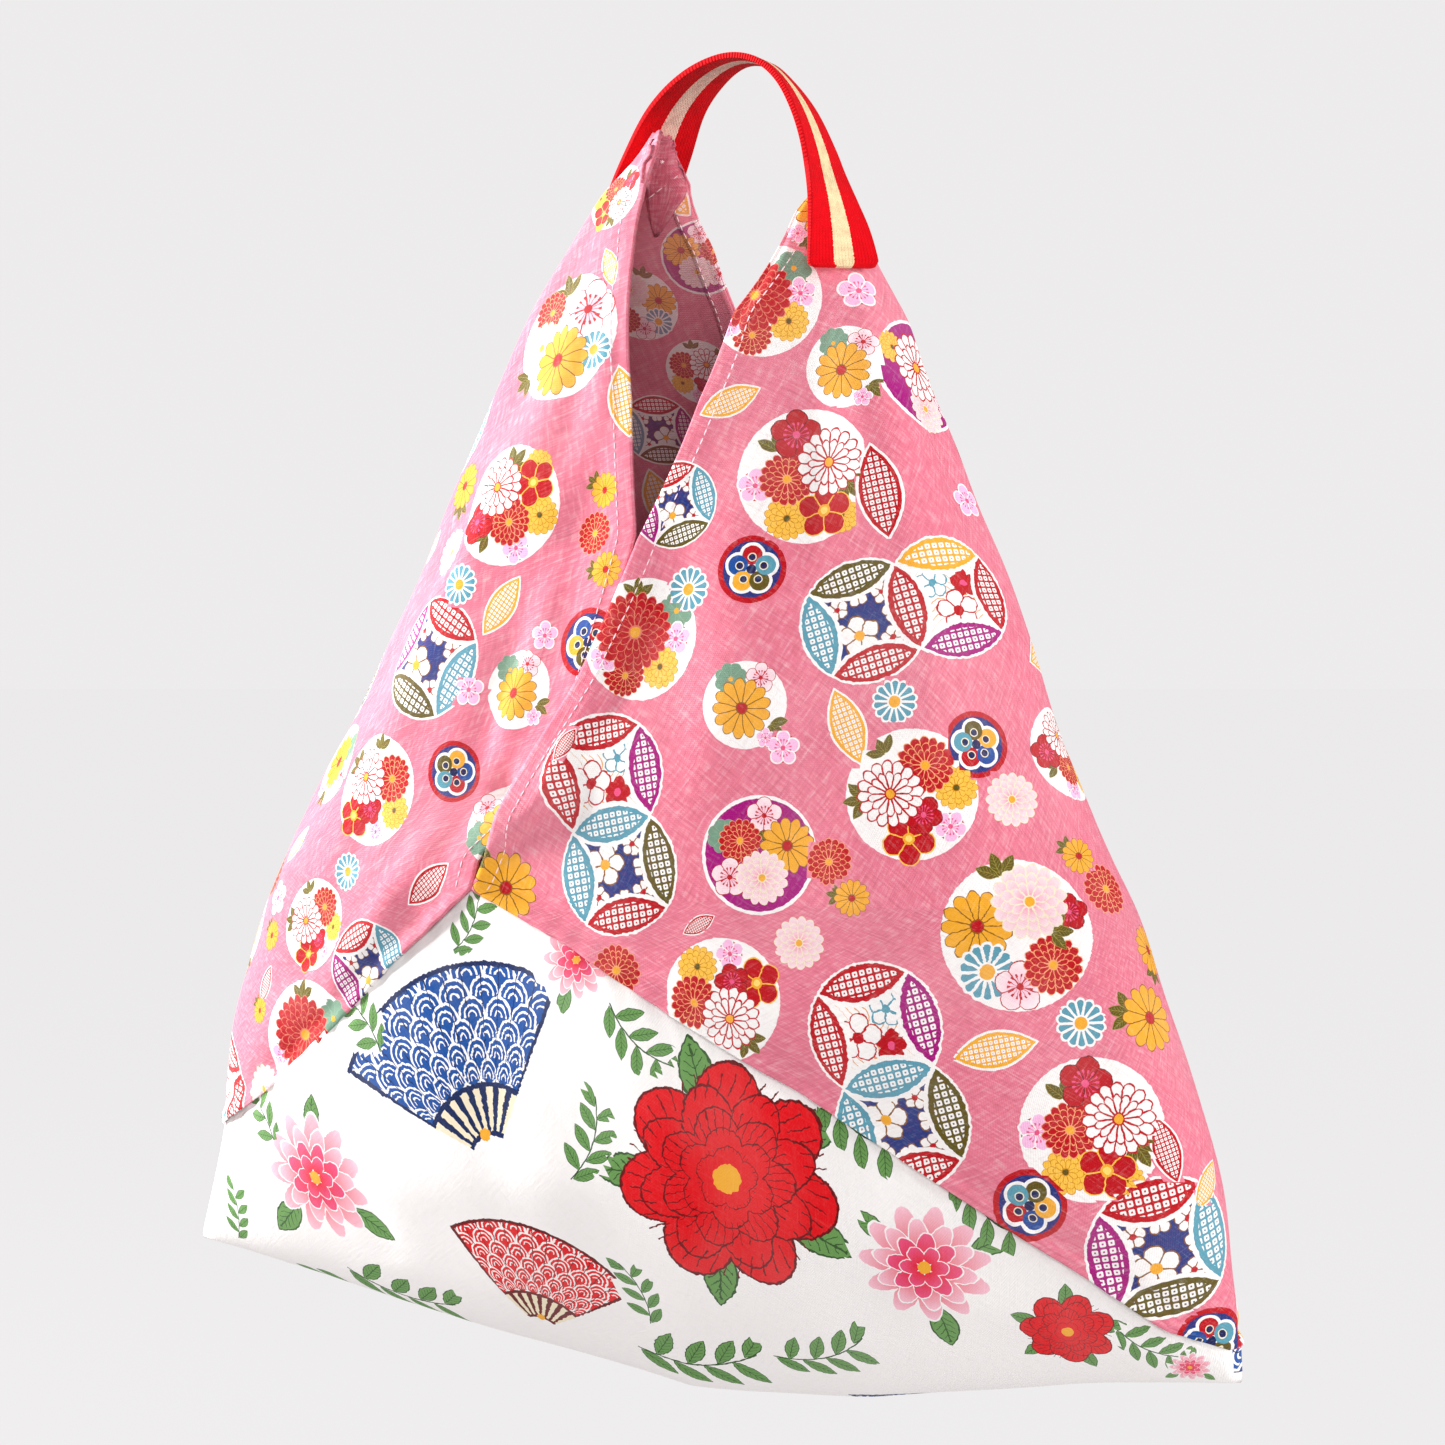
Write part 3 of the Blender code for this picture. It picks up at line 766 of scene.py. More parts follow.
class Art:
    """A material painted mask by mask, in the motif's own circle of radius one."""

    def __init__(self, name, ground, unevenness=0.035):
        self.material = bpy.data.materials.new(name)
        self.material.use_nodes = True
        self.tree = self.material.node_tree
        self.shader = self.tree.nodes["Principled BSDF"]
        self.colour = ground
        self.known = {}
        self.yarns = []
        self.u, self.v = self.place_of("cloth")
        self.x, self.y = self.place_of("print")
        self.even = self.x, self.y
        if unevenness:
            where = self.node("ShaderNodeCombineXYZ", {}, [self.u, self.v, 0.0])
            cloudy = {"Vector": where, "Scale": 420.0, "Detail": 1.0}
            self.x = self.x + (self.node("ShaderNodeTexNoise", {}, cloudy) - 0.5) * unevenness
            cloudy["Scale"] = 350.0
            self.y = self.y + (self.node("ShaderNodeTexNoise", {}, cloudy) - 0.5) * unevenness

    def place_of(self, map_name):
        spot = self.node("ShaderNodeUVMap", {"uv_map": map_name}, {})
        split = self.node("ShaderNodeSeparateXYZ", {}, [spot])
        return split, Value(self, split.socket.node.outputs[1])

    def node(self, kind, settings, values, output=0):
        """Any node: its type, its settings, and then its sockets' values or links."""
        made = self.tree.nodes.new(kind)
        for key, value in settings.items():
            setattr(made, key, value)
        pairs = values.items() if isinstance(values, dict) else enumerate(values)
        for key, value in pairs:
            if isinstance(value, Value):
                self.tree.links.new(value.socket, made.inputs[key])
            else:
                made.inputs[key].default_value = value
        return Value(self, made.outputs[output])

    def mix(self, mask, first, second):
        return self.node("ShaderNodeMix", {"data_type": "RGBA"}, {0: mask, 6: first, 7: second}, 2)

    def paint(self, mask, colour):
        self.colour = self.mix(mask, self.colour, colour)

    def polar(self, cx, cy, radius):
        """Distance from a centre in flower radii, and the angle round it in turns."""
        if (cx, cy, radius) not in self.known:
            dx, dy = self.x - cx, self.y - cy
            away = (dx * dx + dy * dy).root() * (1 / radius)
            self.known[cx, cy, radius] = away, dy.math("ARCTAN2", dx) * (1 / (2 * math.pi))
        return self.known[cx, cy, radius]

    def disc(self, cx, cy, radius, colour):
        self.paint(self.polar(cx, cy, radius)[0] < 1.0, colour)

    def heart(self, flower, share, colour):
        """A disc in the middle of a flower, as a share of its radius."""
        cx, cy, radius = flower
        self.disc(cx, cy, radius * share, colour)

    def petals(self, flower, count, centre, length, width, fill, line, rim, phase=0.0, tip=None):
        """A ring of oval petals with a drawn line round each. flower is a centre and radius."""
        away, angle = self.polar(*flower)
        turn = ((angle * count + (phase + 50.0)).fract() - 0.5) * (2 * math.pi / count)
        forward = (away * turn.cos() - centre) * (1 / length)
        aside = away * turn.sin() * (1 / width)
        spread = forward * forward + aside * aside
        if tip:
            tint = ((away - centre + length) * (0.5 / length)).least(1.0).most(0.0)
            fill = self.mix(tint, fill, tip)
        self.paint(spread < 1.0, line)
        self.paint(spread < (1 - rim) ** 2, fill)

    def ring(self, flower, count, reach, fill, line, pen, phase=0.0, bow=0.14, tip=None):
        """A ring of petals like slices of a round, with bowed ends and a drawn line round each."""
        away, angle = self.polar(*flower)
        turn = (angle * count + (phase + 50.0)).fract() - 0.5
        end = reach - turn * turn * (4 * bow)
        side = (0.5 - abs(turn)) * away * (2 * math.pi / count)
        if tip:
            fill = self.mix((away * (1 / reach) - 0.25).least(1.0).most(0.0), fill, tip)
        self.paint(away < end, line)
        self.paint((away < end - pen) * (side > pen * 0.5), fill)

    def mum(self, flower, count, fill, line, heart, rows=2, pen=0.045, tip=None):
        """A chrysanthemum: rings of petals, the inner ones over the outer."""
        for row in range(rows):
            reach = 1.0 - row * 0.80 / (rows + 0.5)
            fewer = round(count * (1 - 0.12 * row))
            self.ring(flower, fewer, reach, fill, line, pen, 0.5 * row, tip=tip)
        self.heart(flower, 0.17, line)
        self.heart(flower, 0.13, heart)

    def stamens(self, flower, colour):
        """The middle of a plum blossom: rays that end in dots, round a heart."""
        away, angle = self.polar(*flower)
        turn = abs((angle * 15 + 50).fract() - 0.5)
        dots = (abs(away - 0.44) < 0.06) * (turn < 0.22)
        self.paint(dots.most((away < 0.42) * (turn < 0.09)), colour)
        self.heart(flower, 0.14, colour)

    def plum(self, flower, fill, line, heart, pen=0.09):
        """A small plum blossom of five round petals, drawn with one line."""
        self.ring(flower, 5, 1.0, fill, line, pen, 0.25, 0.28)
        self.heart(flower, 0.24, heart)

    def leaf(self, cx, cy, length, width, turn, fill, line):
        """A pointed leaf with a drawn outline, a middle vein and side veins."""
        cos, sin = math.cos(math.radians(turn)), math.sin(math.radians(turn))
        lx = ((self.x - cx) * cos + (self.y - cy) * sin) * (1 / length)
        ly = ((self.y - cy) * cos - (self.x - cx) * sin) * (1 / width)
        half = abs(ly)
        inside = 1.0 - lx * lx - half
        reach = abs(lx)
        self.paint((inside > 0.0) * (reach < 1.0), line)
        self.paint((inside > 0.12) * (reach < 0.94), fill)
        side_veins = (abs(((lx - half * 0.5) * 3.5 + 50).fract() - 0.5) < 0.07) * (inside > 0.30)
        self.paint((half < 0.05).most(side_veins) * (reach < 0.8) * (inside > 0.12), line)

    def dots(self, cx, cy, pitch):
        """A grid of small tied dots, each a square with a hole."""
        fx = abs(((self.even[0] - cx) * (1 / pitch) + 50.0).fract() - 0.5)
        fy = abs(((self.even[1] - cy) * (1 / pitch) + 50.0).fract() - 0.5)
        wide = fx.most(fy)
        return (wide < 0.36) * ((fx * fx + fy * fy).root() < 0.44) * (wide > 0.11)

    def streaks(self, across, along):
        """Noise drawn out into threads."""
        where = self.node("ShaderNodeCombineXYZ", {}, [across, along, 0.0])
        return self.node("ShaderNodeTexNoise", {}, {"Vector": where, "Scale": 1.0, "Detail": 2.0})

    def weave(self, shade, slubs):
        """Lay pale slubs and darker thin places over the colour, along both threads."""
        if not self.yarns:
            self.yarns = [self.streaks(self.u * 1050, self.v * 62),
                          self.streaks(self.u * 58 + 40, self.v * 980),
                          self.streaks(self.u * 2400, self.v * 2400),
                          self.streaks(self.u * 820, self.v * 150)
                          + self.streaks(self.u * 150 + 9, self.v * 820)]
        warp, weft, fine, yarn = self.yarns
        pale = warp.over(0.60, 2.6) + weft.over(0.60, 2.6) + yarn.over(1.02, 1.4)
        dark = warp.under(0.45, 2.6) + weft.under(0.45, 2.6) + yarn.under(0.98, 2.0)
        dark = dark + fine.under(0.46, 1.4)
        self.colour = self.mix((pale * slubs).least(1.0), self.colour, WHITE)
        self.colour = self.mix((dark * slubs).least(1.0), self.colour, shade)

    def finish(self, shade, slubs=0.5):
        """Fading and bump of plain cotton, and the shader's fixed values."""
        self.weave(shade, slubs)
        warp, weft, fine, yarn = self.yarns
        cloud = self.streaks(self.u * 16, self.v * 16)
        fade = self.mix(0.0, self.colour, DUSTY)
        fade.socket.node.name = REVERSE_FADE
        step = 2 * math.pi / THREAD_PITCH
        woven = (self.u * step).sin() * (self.v * step).sin()
        height = woven * 0.35 + warp + weft + yarn * 0.6 + fine * 0.6
        set_sockets(self.shader, {"Sheen Weight": 0.06, "Sheen Roughness": 0.5})
        colour = self.mix(cloud.over(0.45, 0.22), fade, WHITE)
        return self.surface(colour, 0.9, 0.15, {"Strength": 0.7, "Distance": 0.00030, "Height": height})

    def surface(self, colour, roughness, specular, bump=None):
        """Give the shader its colour, its fixed values and its bump."""
        self.tree.links.new(colour.socket, self.shader.inputs["Base Color"])
        if bump:
            made = self.node("ShaderNodeBump", {}, bump)
            self.tree.links.new(made.socket, self.shader.inputs["Normal"])
        set_sockets(self.shader, {"Roughness": roughness, "Specular IOR Level": specular})
        return self.material


# %% [markdown]
# The pink print is a traditional one: rounds filled with chrysanthemums and plum blossoms,
# linked circles of lenses with tied dots, small roundels, loose flowers and lens petals, on a
# pink slub cotton. First come the flowers by their colours, then the rounds that they fill.

# %% Flowers of the print
THREAD_SHADE = colour_of(178, 84, 100)


def mum_of(*look, **more):
    """A chrysanthemum of one look, to be placed by its centre and radius."""
    return lambda art, *flower: art.mum(flower, *look, **more)


white_mum = mum_of(16, WHITE, CRIMSON, GOLD, 2, 0.052)
red_mum = mum_of(17, CRIMSON, colour_of(240, 160, 112), GOLD, 3, 0.034)
gold_mum = mum_of(14, HONEY, colour_of(206, 134, 20), OLIVE, 3, 0.034)
pale_mum = mum_of(15, colour_of(240, 150, 176), CREAM, GOLD, 3, 0.040, tip=WHITE)
crown_mum = mum_of(20, CRIMSON, colour_of(222, 120, 96), GOLD, 4, 0.026)


def gold_flower(art, *flower):
    art.ring(flower, 13, 1.0, GOLD, BROWN, 0.030, bow=0.20)
    art.heart(flower, 0.20, BROWN)
    art.heart(flower, 0.17, CRIMSON)


def teal_daisy(art, *flower):
    art.ring(flower, 14, 1.0, TEAL, WHITE, 0.105, bow=0.13)
    art.heart(flower, 0.32, WHITE)
    art.heart(flower, 0.25, GOLD)


def sage_plum(art, *flower):
    art.ring(flower, 8, 0.98, SAGE, colour_of(132, 166, 142), 0.03)
    art.heart(flower, 0.14, GOLD)


def red_plum(art, *flower):
    art.ring(flower, 5, 1.0, CRIMSON, MAROON, 0.035, 0.25, 0.24)
    art.stamens(flower, ROSE)


def white_plum(art, *flower):
    art.ring(flower, 5, 1.0, PALE_PINK, CRIMSON, 0.045, 0.25, 0.26, tip=WHITE)
    art.stamens(flower, CRIMSON)


def pale_plum(art, *flower):
    art.heart(flower, 0.80, CRIMSON)
    art.ring(flower, 5, 1.0, colour_of(246, 186, 224), WHITE, 0.10, 0.25, 0.30)
    art.stamens(flower, ROSE)


def star_flower(art, *flower):
    art.ring(flower, 5, 1.0, CRIMSON, HONEY, 0.050, 0.25, 0.30)
    art.heart(flower, 0.22, GOLD)
    art.heart(flower, 0.13, colour_of(250, 214, 110))


def olive_leaves(art, cx, cy, size, turn):
    for aside in (-50, 0, 50):
        way = math.radians(turn + aside)
        art.leaf(cx + size * 0.55 * math.cos(way), cy + size * 0.55 * math.sin(way),
                 size * 0.50, size * 0.24, turn + aside, OLIVE, colour_of(150, 140, 60))


# %% Rounds, linked circles and small motifs
def round_ground(art, fill=WHITE):
    art.disc(0, 0, 1.0, WHITE)
    if fill != WHITE:
        art.disc(0, 0, 0.94, fill)


SMALL_PLUMS = ((-0.34, 0.30), (0.02, 0.42), (0.40, 0.34), (-0.46, -0.06), (0.48, 0.0), (0.36, -0.40))


def linked_circle(art, cx, cy, radius, lenses, field):
    """Four lenses round a filled field. lenses: colours of the right, top, left and lower one."""
    away, _ = art.polar(cx, cy, radius)
    centres = [(cx + radius * math.sqrt(2) * math.cos(math.pi / 2 * turn),
                cy + radius * math.sqrt(2) * math.sin(math.pi / 2 * turn)) for turn in range(4)]
    others = [art.polar(*centre, radius)[0] for centre in centres]
    clear = others[0].least(others[1]).least(others[2].least(others[3]))
    art.paint(away < 1.0, WHITE)
    if field == "navy":
        art.paint((clear > 1.04) * (away < 0.96), NAVY)
        for dx, dy in SMALL_PLUMS:
            art.plum((cx + dx * radius, cy + dy * radius, radius * 0.19), WHITE, BROWN, CRIMSON)
        art.plum((cx - 0.12 * radius, cy - 0.22 * radius, radius * 0.34), WHITE, BROWN, GOLD, 0.07)
    else:
        stream = abs(art.y - cy + ((art.x - cx) * (7 / radius)).sin() * (0.12 * radius))
        lines = ((stream * (9 / radius)).fract() < 0.16) * (stream < 0.45 * radius) * (away < 0.9)
        art.paint(lines, colour_of(226, 160, 96))
        art.plum((cx - 0.26 * radius, cy + 0.26 * radius, radius * 0.26), WHITE, TEAL, TEAL, 0.10)
        art.plum((cx + 0.26 * radius, cy + 0.20 * radius, radius * 0.24), CRIMSON, CRIMSON, ROSE)
        art.plum((cx + 0.04 * radius, cy - 0.24 * radius, radius * 0.36), WHITE, CRIMSON, CRIMSON, 0.07)
    art.paint((clear < 1.04) * (away < 1.0), WHITE)
    inside = away < 0.962
    for colour, other in zip(lenses, others):
        art.paint((other < 0.975) * inside, colour)
    dots = art.dots(cx, cy, radius * 0.112)
    art.paint(dots * (clear < 0.90) * (away < 0.90), WHITE)


def pansy(art):
    art.disc(0, 0, 1.0, CRIMSON)
    art.disc(0, 0, 0.84, NAVY)
    ways = [math.radians(90 + 72 * number) for number in range(5)]
    spots = [(math.cos(way), math.sin(way)) for way in ways]
    for x, y in spots:
        art.disc(0.42 * x, 0.42 * y, 0.38, WHITE)
    for (x, y), colour in zip(spots, (CRIMSON, ROYAL, GOLD, OLIVE, TEAL)):
        art.disc(0.42 * x, 0.42 * y, 0.29, colour)
        art.disc(0.36 * x, 0.36 * y, 0.13, CREAM)
        art.disc(0.36 * x, 0.36 * y, 0.10, DEEP_BLUE)
    art.disc(0, 0, 0.14, DEEP_BLUE)


def lens_petal(art, fill):
    inside = 1.0 - art.x * art.x - abs(art.y) * 2.2
    reach = abs(art.x)
    art.paint((inside > 0.0) * (reach < 1.0), WHITE)
    art.paint((inside > 0.13) * (reach < 0.93), fill)
    art.paint(art.dots(0, 0, 0.120) * (inside > 0.30) * (reach < 0.86), WHITE)


# Parts of each motif, from the lowest to the uppermost: what draws it, centre, size and turn
DRAWINGS = {
    "ground": (),
    "round_harvest": (
        (round_ground,), (olive_leaves, -0.42, 0.36, 0.34, 100), (olive_leaves, 0.62, -0.10, 0.36, -50),
        (pale_plum, -0.74, -0.14, 0.28), (gold_mum, -0.28, -0.62, 0.33),
        (gold_mum, 0.56, -0.62, 0.26), (red_mum, -0.30, -0.04, 0.40), (red_plum, -0.18, 0.62, 0.38),
        (star_flower, 0.28, -0.52, 0.42), (white_mum, 0.34, 0.20, 0.52)),
    "round_ruby": (
        (round_ground,), (olive_leaves, 0.10, 0.72, 0.30, 90), (olive_leaves, -0.58, 0.40, 0.34, 150),
        (gold_mum, 0.58, -0.34, 0.34), (pale_plum, 0.14, -0.74, 0.26), (red_mum, 0.44, 0.22, 0.44),
        (star_flower, -0.46, -0.48, 0.42), (red_plum, -0.06, -0.34, 0.30),
        (white_mum, -0.24, 0.22, 0.52)),
    "round_crown": (
        (round_ground,), (sage_plum, 0.56, 0.46, 0.34), (pale_plum, 0.62, 0.0, 0.30),
        (olive_leaves, -0.14, 0.70, 0.30, 90), (gold_mum, 0.36, -0.46, 0.36),
        (red_mum, -0.30, -0.58, 0.36), (pale_plum, -0.66, -0.30, 0.26),
        (crown_mum, -0.16, 0.12, 0.66)),
    "round_gold": (
        (round_ground,), (olive_leaves, -0.30, 0.64, 0.40, 120), (red_mum, -0.60, 0.40, 0.34),
        (white_plum, 0.34, 0.44, 0.50), (pale_mum, -0.56, -0.16, 0.42),
        (teal_daisy, 0.68, -0.16, 0.34), (olive_leaves, -0.66, -0.62, 0.30, 230),
        (gold_flower, 0.06, -0.38, 0.56)),
    "round_dawn": (
        (round_ground,), (olive_leaves, -0.20, 0.76, 0.34, 110), (red_plum, 0.70, 0.30, 0.26),
        (gold_flower, -0.52, 0.12, 0.48), (teal_daisy, -0.40, -0.48, 0.40),
        (white_plum, 0.02, -0.68, 0.34), (red_mum, 0.46, -0.40, 0.40),
        (olive_leaves, 0.44, 0.04, 0.30, 0), (pale_mum, 0.18, 0.44, 0.52)),
    "round_magenta": (
        (round_ground, MAGENTA), (olive_leaves, 0.58, 0.52, 0.34, 40), (gold_mum, -0.54, 0.50, 0.30),
        (pale_mum, -0.10, -0.58, 0.44), (white_plum, 0.56, -0.46, 0.30),
        (white_mum, 0.02, 0.16, 0.62)),
    "round_violet": (
        (round_ground, MAGENTA), (sage_plum, -0.62, 0.30, 0.30), (olive_leaves, 0.10, 0.20, 0.34, 60),
        (white_plum, 0.06, 0.66, 0.32), (red_mum, -0.34, 0.22, 0.38),
        (gold_flower, 0.48, 0.16, 0.48), (white_plum, -0.50, -0.38, 0.34),
        (pale_mum, 0.06, -0.38, 0.46)),
    "oval_gold": (
        (round_ground,), (sage_plum, -0.34, 0.58, 0.40), (white_plum, 0.36, 0.62, 0.36),
        (olive_leaves, 0.60, -0.42, 0.44, -40), (pale_plum, 0.52, -0.74, 0.24),
        (gold_flower, -0.06, -0.08, 0.70)),
    "linked": ((linked_circle, 0, 0, 0.985, (TEAL, CRIMSON, MAGENTA, OLIVE), "navy"),),
    "linked_pair": (
        (linked_circle, -0.41, 0, 0.580, (TEAL, MAGENTA, CRIMSON, CRIMSON), "white"),
        (linked_circle, 0.41, 0, 0.580, (CRIMSON, OLIVE, TEAL, TEAL), "navy")),
    "linked_row": (
        (linked_circle, 0.41, 0, 0.580, (CRIMSON, GOLD, CRIMSON, MAGENTA), "white"),
        (linked_circle, -0.41, 0, 0.580, (CRIMSON, OLIVE, TEAL, CRIMSON), "navy")),
    "pansy": ((pansy,),),
    "leaf": ((lens_petal, GOLD),),
    "leaf_red": ((lens_petal, CRIMSON),),
    "daisy_gold": ((olive_leaves, -0.44, 0.34, 0.60, 140), (gold_flower, 0.06, -0.04, 0.86)),
    "daisy_teal": ((teal_daisy, 0, 0, 0.98),),
    "mum_red": ((red_mum, 0, 0, 0.96),),
    "mum_pale": ((pale_mum, 0, 0, 0.96),),
    "plum_pale": ((pale_plum, 0, 0, 0.96),)}


def print_materials(drawings, ground, shade, slubs):
    """One material for each motif."""
    made = []
    for name, parts in drawings.items():
        art = Art(name, ground)
        art.weave(shade, slubs * UNDER_INK)
        for draw, *place in parts:
            draw(art, *place)
        made.append(art.finish(shade, slubs * OVER_INK))
    return made


def reverse_of(material):
    """The other side of a printed cloth: the same drawing, dulled."""
    dulled = material.copy()
    dulled.name = material.name + "_reverse"
    dulled.node_tree.nodes[REVERSE_FADE].inputs[0].default_value = 0.30
    return dulled


# %% [markdown]
# The white square carries a large generic design in scarlet, royal blue, green and rose, in
# flat colour with drawn lines: peonies, folding fans, dahlias and leaf sprigs.

# %% The large design of the base
def green_leaf(art, *place):
    art.leaf(*place, LEAF_GREEN, STEM_GREEN)


def peony(art):
    for turn in (20, 95, 170, 250, 320):
        way = math.radians(turn)
        green_leaf(art, 0.72 * math.cos(way), 0.72 * math.sin(way), 0.27, 0.13, turn)
    flower = (0.0, 0.0, 0.80)
    rows = ((7, 1.0), (8, 0.82), (7, 0.62), (6, 0.44), (5, 0.28))
    for row, (count, reach) in enumerate(rows):
        art.petals(flower, count, reach * 0.58, reach * 0.42, reach * 2.3 / count,
                   SCARLET, MAROON, 0.06, 0.37 * row)
    away, angle = art.polar(*flower)
    bent = angle * 44 + away * 1.6 + (away * 9).sin() * 0.25
    lines = (abs((bent + 50).fract() - 0.5) < 0.055) * (away < 0.9) * (away > 0.24)
    edge_free = (abs((away * 3.1).fract() - 0.5) < 0.34)
    art.paint(lines * edge_free, MAROON)
    art.disc(0, 0, 0.10, GOLD)


def fan(art, fill, line):
    """An open folding fan: a sector with ribs and rows of waves."""
    dx, dy = art.x, art.y + 0.78
    away = (dx * dx + dy * dy).root()
    angle = dx.math("ARCTAN2", dy)
    open_half = abs(angle)
    sector = (open_half < 0.80) * (away < 1.56)
    art.paint(sector * (away > 0.20), line)
    paper = (away > 0.62) * (away < 1.52) * (open_half < 0.77)
    art.paint(paper, fill)
    rows = away * 6.2
    cell = ((angle * 4.6 + (rows.floor() * 0.5).fract() + 50).fract() - 0.5) * 2
    climb = rows.fract()
    scale = (cell * cell + climb * climb).root()
    rings = (abs(scale - 0.94) < 0.07).most(abs(scale - 0.60) < 0.06).most(abs(scale - 0.28) < 0.05)
    art.paint(paper * rings, WHITE)
    folds = (abs((angle * 8.2 + 50).fract() - 0.5) < 0.03) * paper
    art.paint(folds, line)
    ribs = sector * (away < 0.58) * (away > 0.24) * (abs((angle * 4.6 + 50).fract() - 0.5) < 0.26)
    art.paint(ribs, CREAM)
    art.disc(0, -0.56, 0.05, GOLD)


def dahlia(art):
    green_leaf(art, -0.66, -0.52, 0.34, 0.17, 220)
    green_leaf(art, 0.70, -0.48, 0.32, 0.15, -35)
    green_leaf(art, 0.10, 0.78, 0.26, 0.12, 80)
    flower = (0.0, 0.04, 0.80)
    for row, (count, reach) in enumerate(((11, 1.0), (10, 0.78), (8, 0.56), (6, 0.36))):
        art.petals(flower, count, reach * 0.60, reach * 0.40, reach * 2.0 / count,
                   SCARLET, WHITE, 0.10, 0.5 * row, tip=PALE_PINK if row < 2 else ROSE)
    art.disc(0, 0.04, 0.08, GOLD)


def sprig(art):
    bend = art.x * art.x * 0.30
    art.paint((abs(art.y - bend + 0.10) < 0.014) * (abs(art.x) < 0.88), STEM_GREEN)
    for number in range(8):
        spot = -0.80 + number * 0.22
        side = 1 if number % 2 else -1
        height = spot * spot * 0.30 - 0.10 + side * 0.24
        green_leaf(art, spot + 0.14, height, 0.31, 0.125, side * 50)


DESIGN = {
    "ground": (), "peony": ((peony,),), "fan_blue": ((fan, ROYAL, DEEP_BLUE),),
    "fan_red": ((fan, SCARLET, MAROON),), "dahlia": ((dahlia,),), "sprig": ((sprig,),)}

# %% [markdown]
# Now the cloth itself: Blender's grid is laid on the worked out points, each face takes the
# material of the motif that it lies in, and two maps are written. One holds the place in the
# motif, the other the place on the cloth in metres, for the threads. Solidify gives the wall,
# and its material offset turns the inner side into the duller reverse of the print.

# %% Make the cloth
MOTIF_REACH = 1.22
FACING_MOTIF = 0.25
WELD_REACH = 0.00002
OFF_PRINT = 5.0           # a place outside of every motif


def face_motifs(panel, centres, ways):
    """For each face, the motif that it lies deepest in, or -1."""
    score = np.full(len(centres), MOTIF_REACH)
    chosen = np.full(len(centres), -1)
    for number, (kind, centre, normal, radius, _, y_way) in enumerate(panel.motifs):
        away = centres - centre
        squash = 1 / MOTIF_HEIGHT.get(kind, 1.0) ** 2 - 1
        away = np.sqrt((away ** 2).sum(axis=1) + squash * (away @ y_way) ** 2) / radius
        near = (away < score) & (ways @ normal > FACING_MOTIF)
        score[near] = away[near]
        chosen[near] = number
    return chosen


def motif_places(panel, chosen, corners):
    """The place of each face corner in its motif, with distances kept as on the cloth."""
    local = np.full((len(corners), 2), OFF_PRINT)
    for number, (_, centre, _, radius, x_way, y_way) in enumerate(panel.motifs):
        faces = np.nonzero(chosen == number)[0]
        loops = (faces[:, None] * 4 + np.arange(4)).ravel()
        away = corners[loops] - centre
        flat = np.stack([away @ x_way, away @ y_way], axis=1)
        stretch = np.linalg.norm(away, axis=1) / np.maximum(np.linalg.norm(flat, axis=1), 1e-6)
        local[loops] = flat * stretch[:, None] / radius
    return local


def write_map(data, name, places):
    layer = data.uv_layers.new(name=name)
    layer.data.foreach_set("uv", places.astype(np.float32).ravel())


def read_vectors(collection, attribute):
    values = np.empty(len(collection) * 3, dtype=np.float32)
    collection.foreach_get(attribute, values)
    return values.reshape(-1, 3).astype(float)


def mesh_object(name, data):
    for face in data.polygons:
        face.use_smooth = True
    return add_object(name, data)


def grid_data(name, points, flip):
    """The mesh of a grid, and the column and row that each of its face corners took."""
    mesh, i, j = lay_grid(points)
    if flip:
        bmesh.ops.reverse_faces(mesh, faces=mesh.faces)
    data = mesh_data(mesh, name)
    taken = np.empty(len(data.loops), dtype=np.int32)
    data.loops.foreach_get("vertex_index", taken)
    return data, i[taken], j[taken]


def give_wall(made, wall, reverse_offset=0):
    thicken = made.modifiers.new("wall", "SOLIDIFY")
    thicken.thickness = wall
    thicken.offset = 1.0
    thicken.material_offset = reverse_offset


def cloth_object(panel, kinds, front, reverse):
    data, i, j = grid_data(panel.name, panel.points, panel.flip)
    for material in (*front, *reverse):
        data.materials.append(material)
    centres, ways = read_vectors(data.polygons, "center"), read_vectors(data.polygons, "normal")
    chosen = face_motifs(panel, centres, ways)
    marks = [kinds.index(panel.motifs[number][0]) if number >= 0 else 0 for number in chosen]
    data.polygons.foreach_set("material_index", np.array(marks, dtype=np.int32))
    write_map(data, "print", motif_places(panel, chosen, panel.points[i, j]))
    write_map(data, "cloth", panel.cloth[i, j])
    weld = bmesh.new()
    weld.from_mesh(data)
    bmesh.ops.remove_doubles(weld, verts=weld.verts, dist=WELD_REACH)
    weld.to_mesh(data)
    weld.free()
    made = mesh_object(panel.name, data)
    give_wall(made, CLOTH, len(kinds))
    print(panel.name, "faces:", len(data.polygons))
    return made


pink_front = print_materials(DRAWINGS, PINK, THREAD_SHADE, 0.5)
pink_reverse = [reverse_of(material) for material in pink_front]
white_shade = colour_of(206, 200, 192)
white_front = print_materials(DESIGN, WHITE, white_shade, 0.12)
plain_reverse = Art("white_reverse", WHITE).finish(white_shade, 0.12)
left_cloth = cloth_object(left_wing, list(DRAWINGS), pink_front, pink_reverse)
right_cloth = cloth_object(right_wing, list(DRAWINGS), pink_front, pink_reverse)
base_cloth = cloth_object(base, list(DESIGN), white_front, [plain_reverse] * len(DESIGN))

# %% [markdown]
# The free edges of the wings are turned in and stitched. The turned edge is a ribbon that
# follows the hem on the inside, and the stitches are short rounded rods along a line, which
# show on both sides of the cloth. A line beside the hem is read from the wing's own grid.

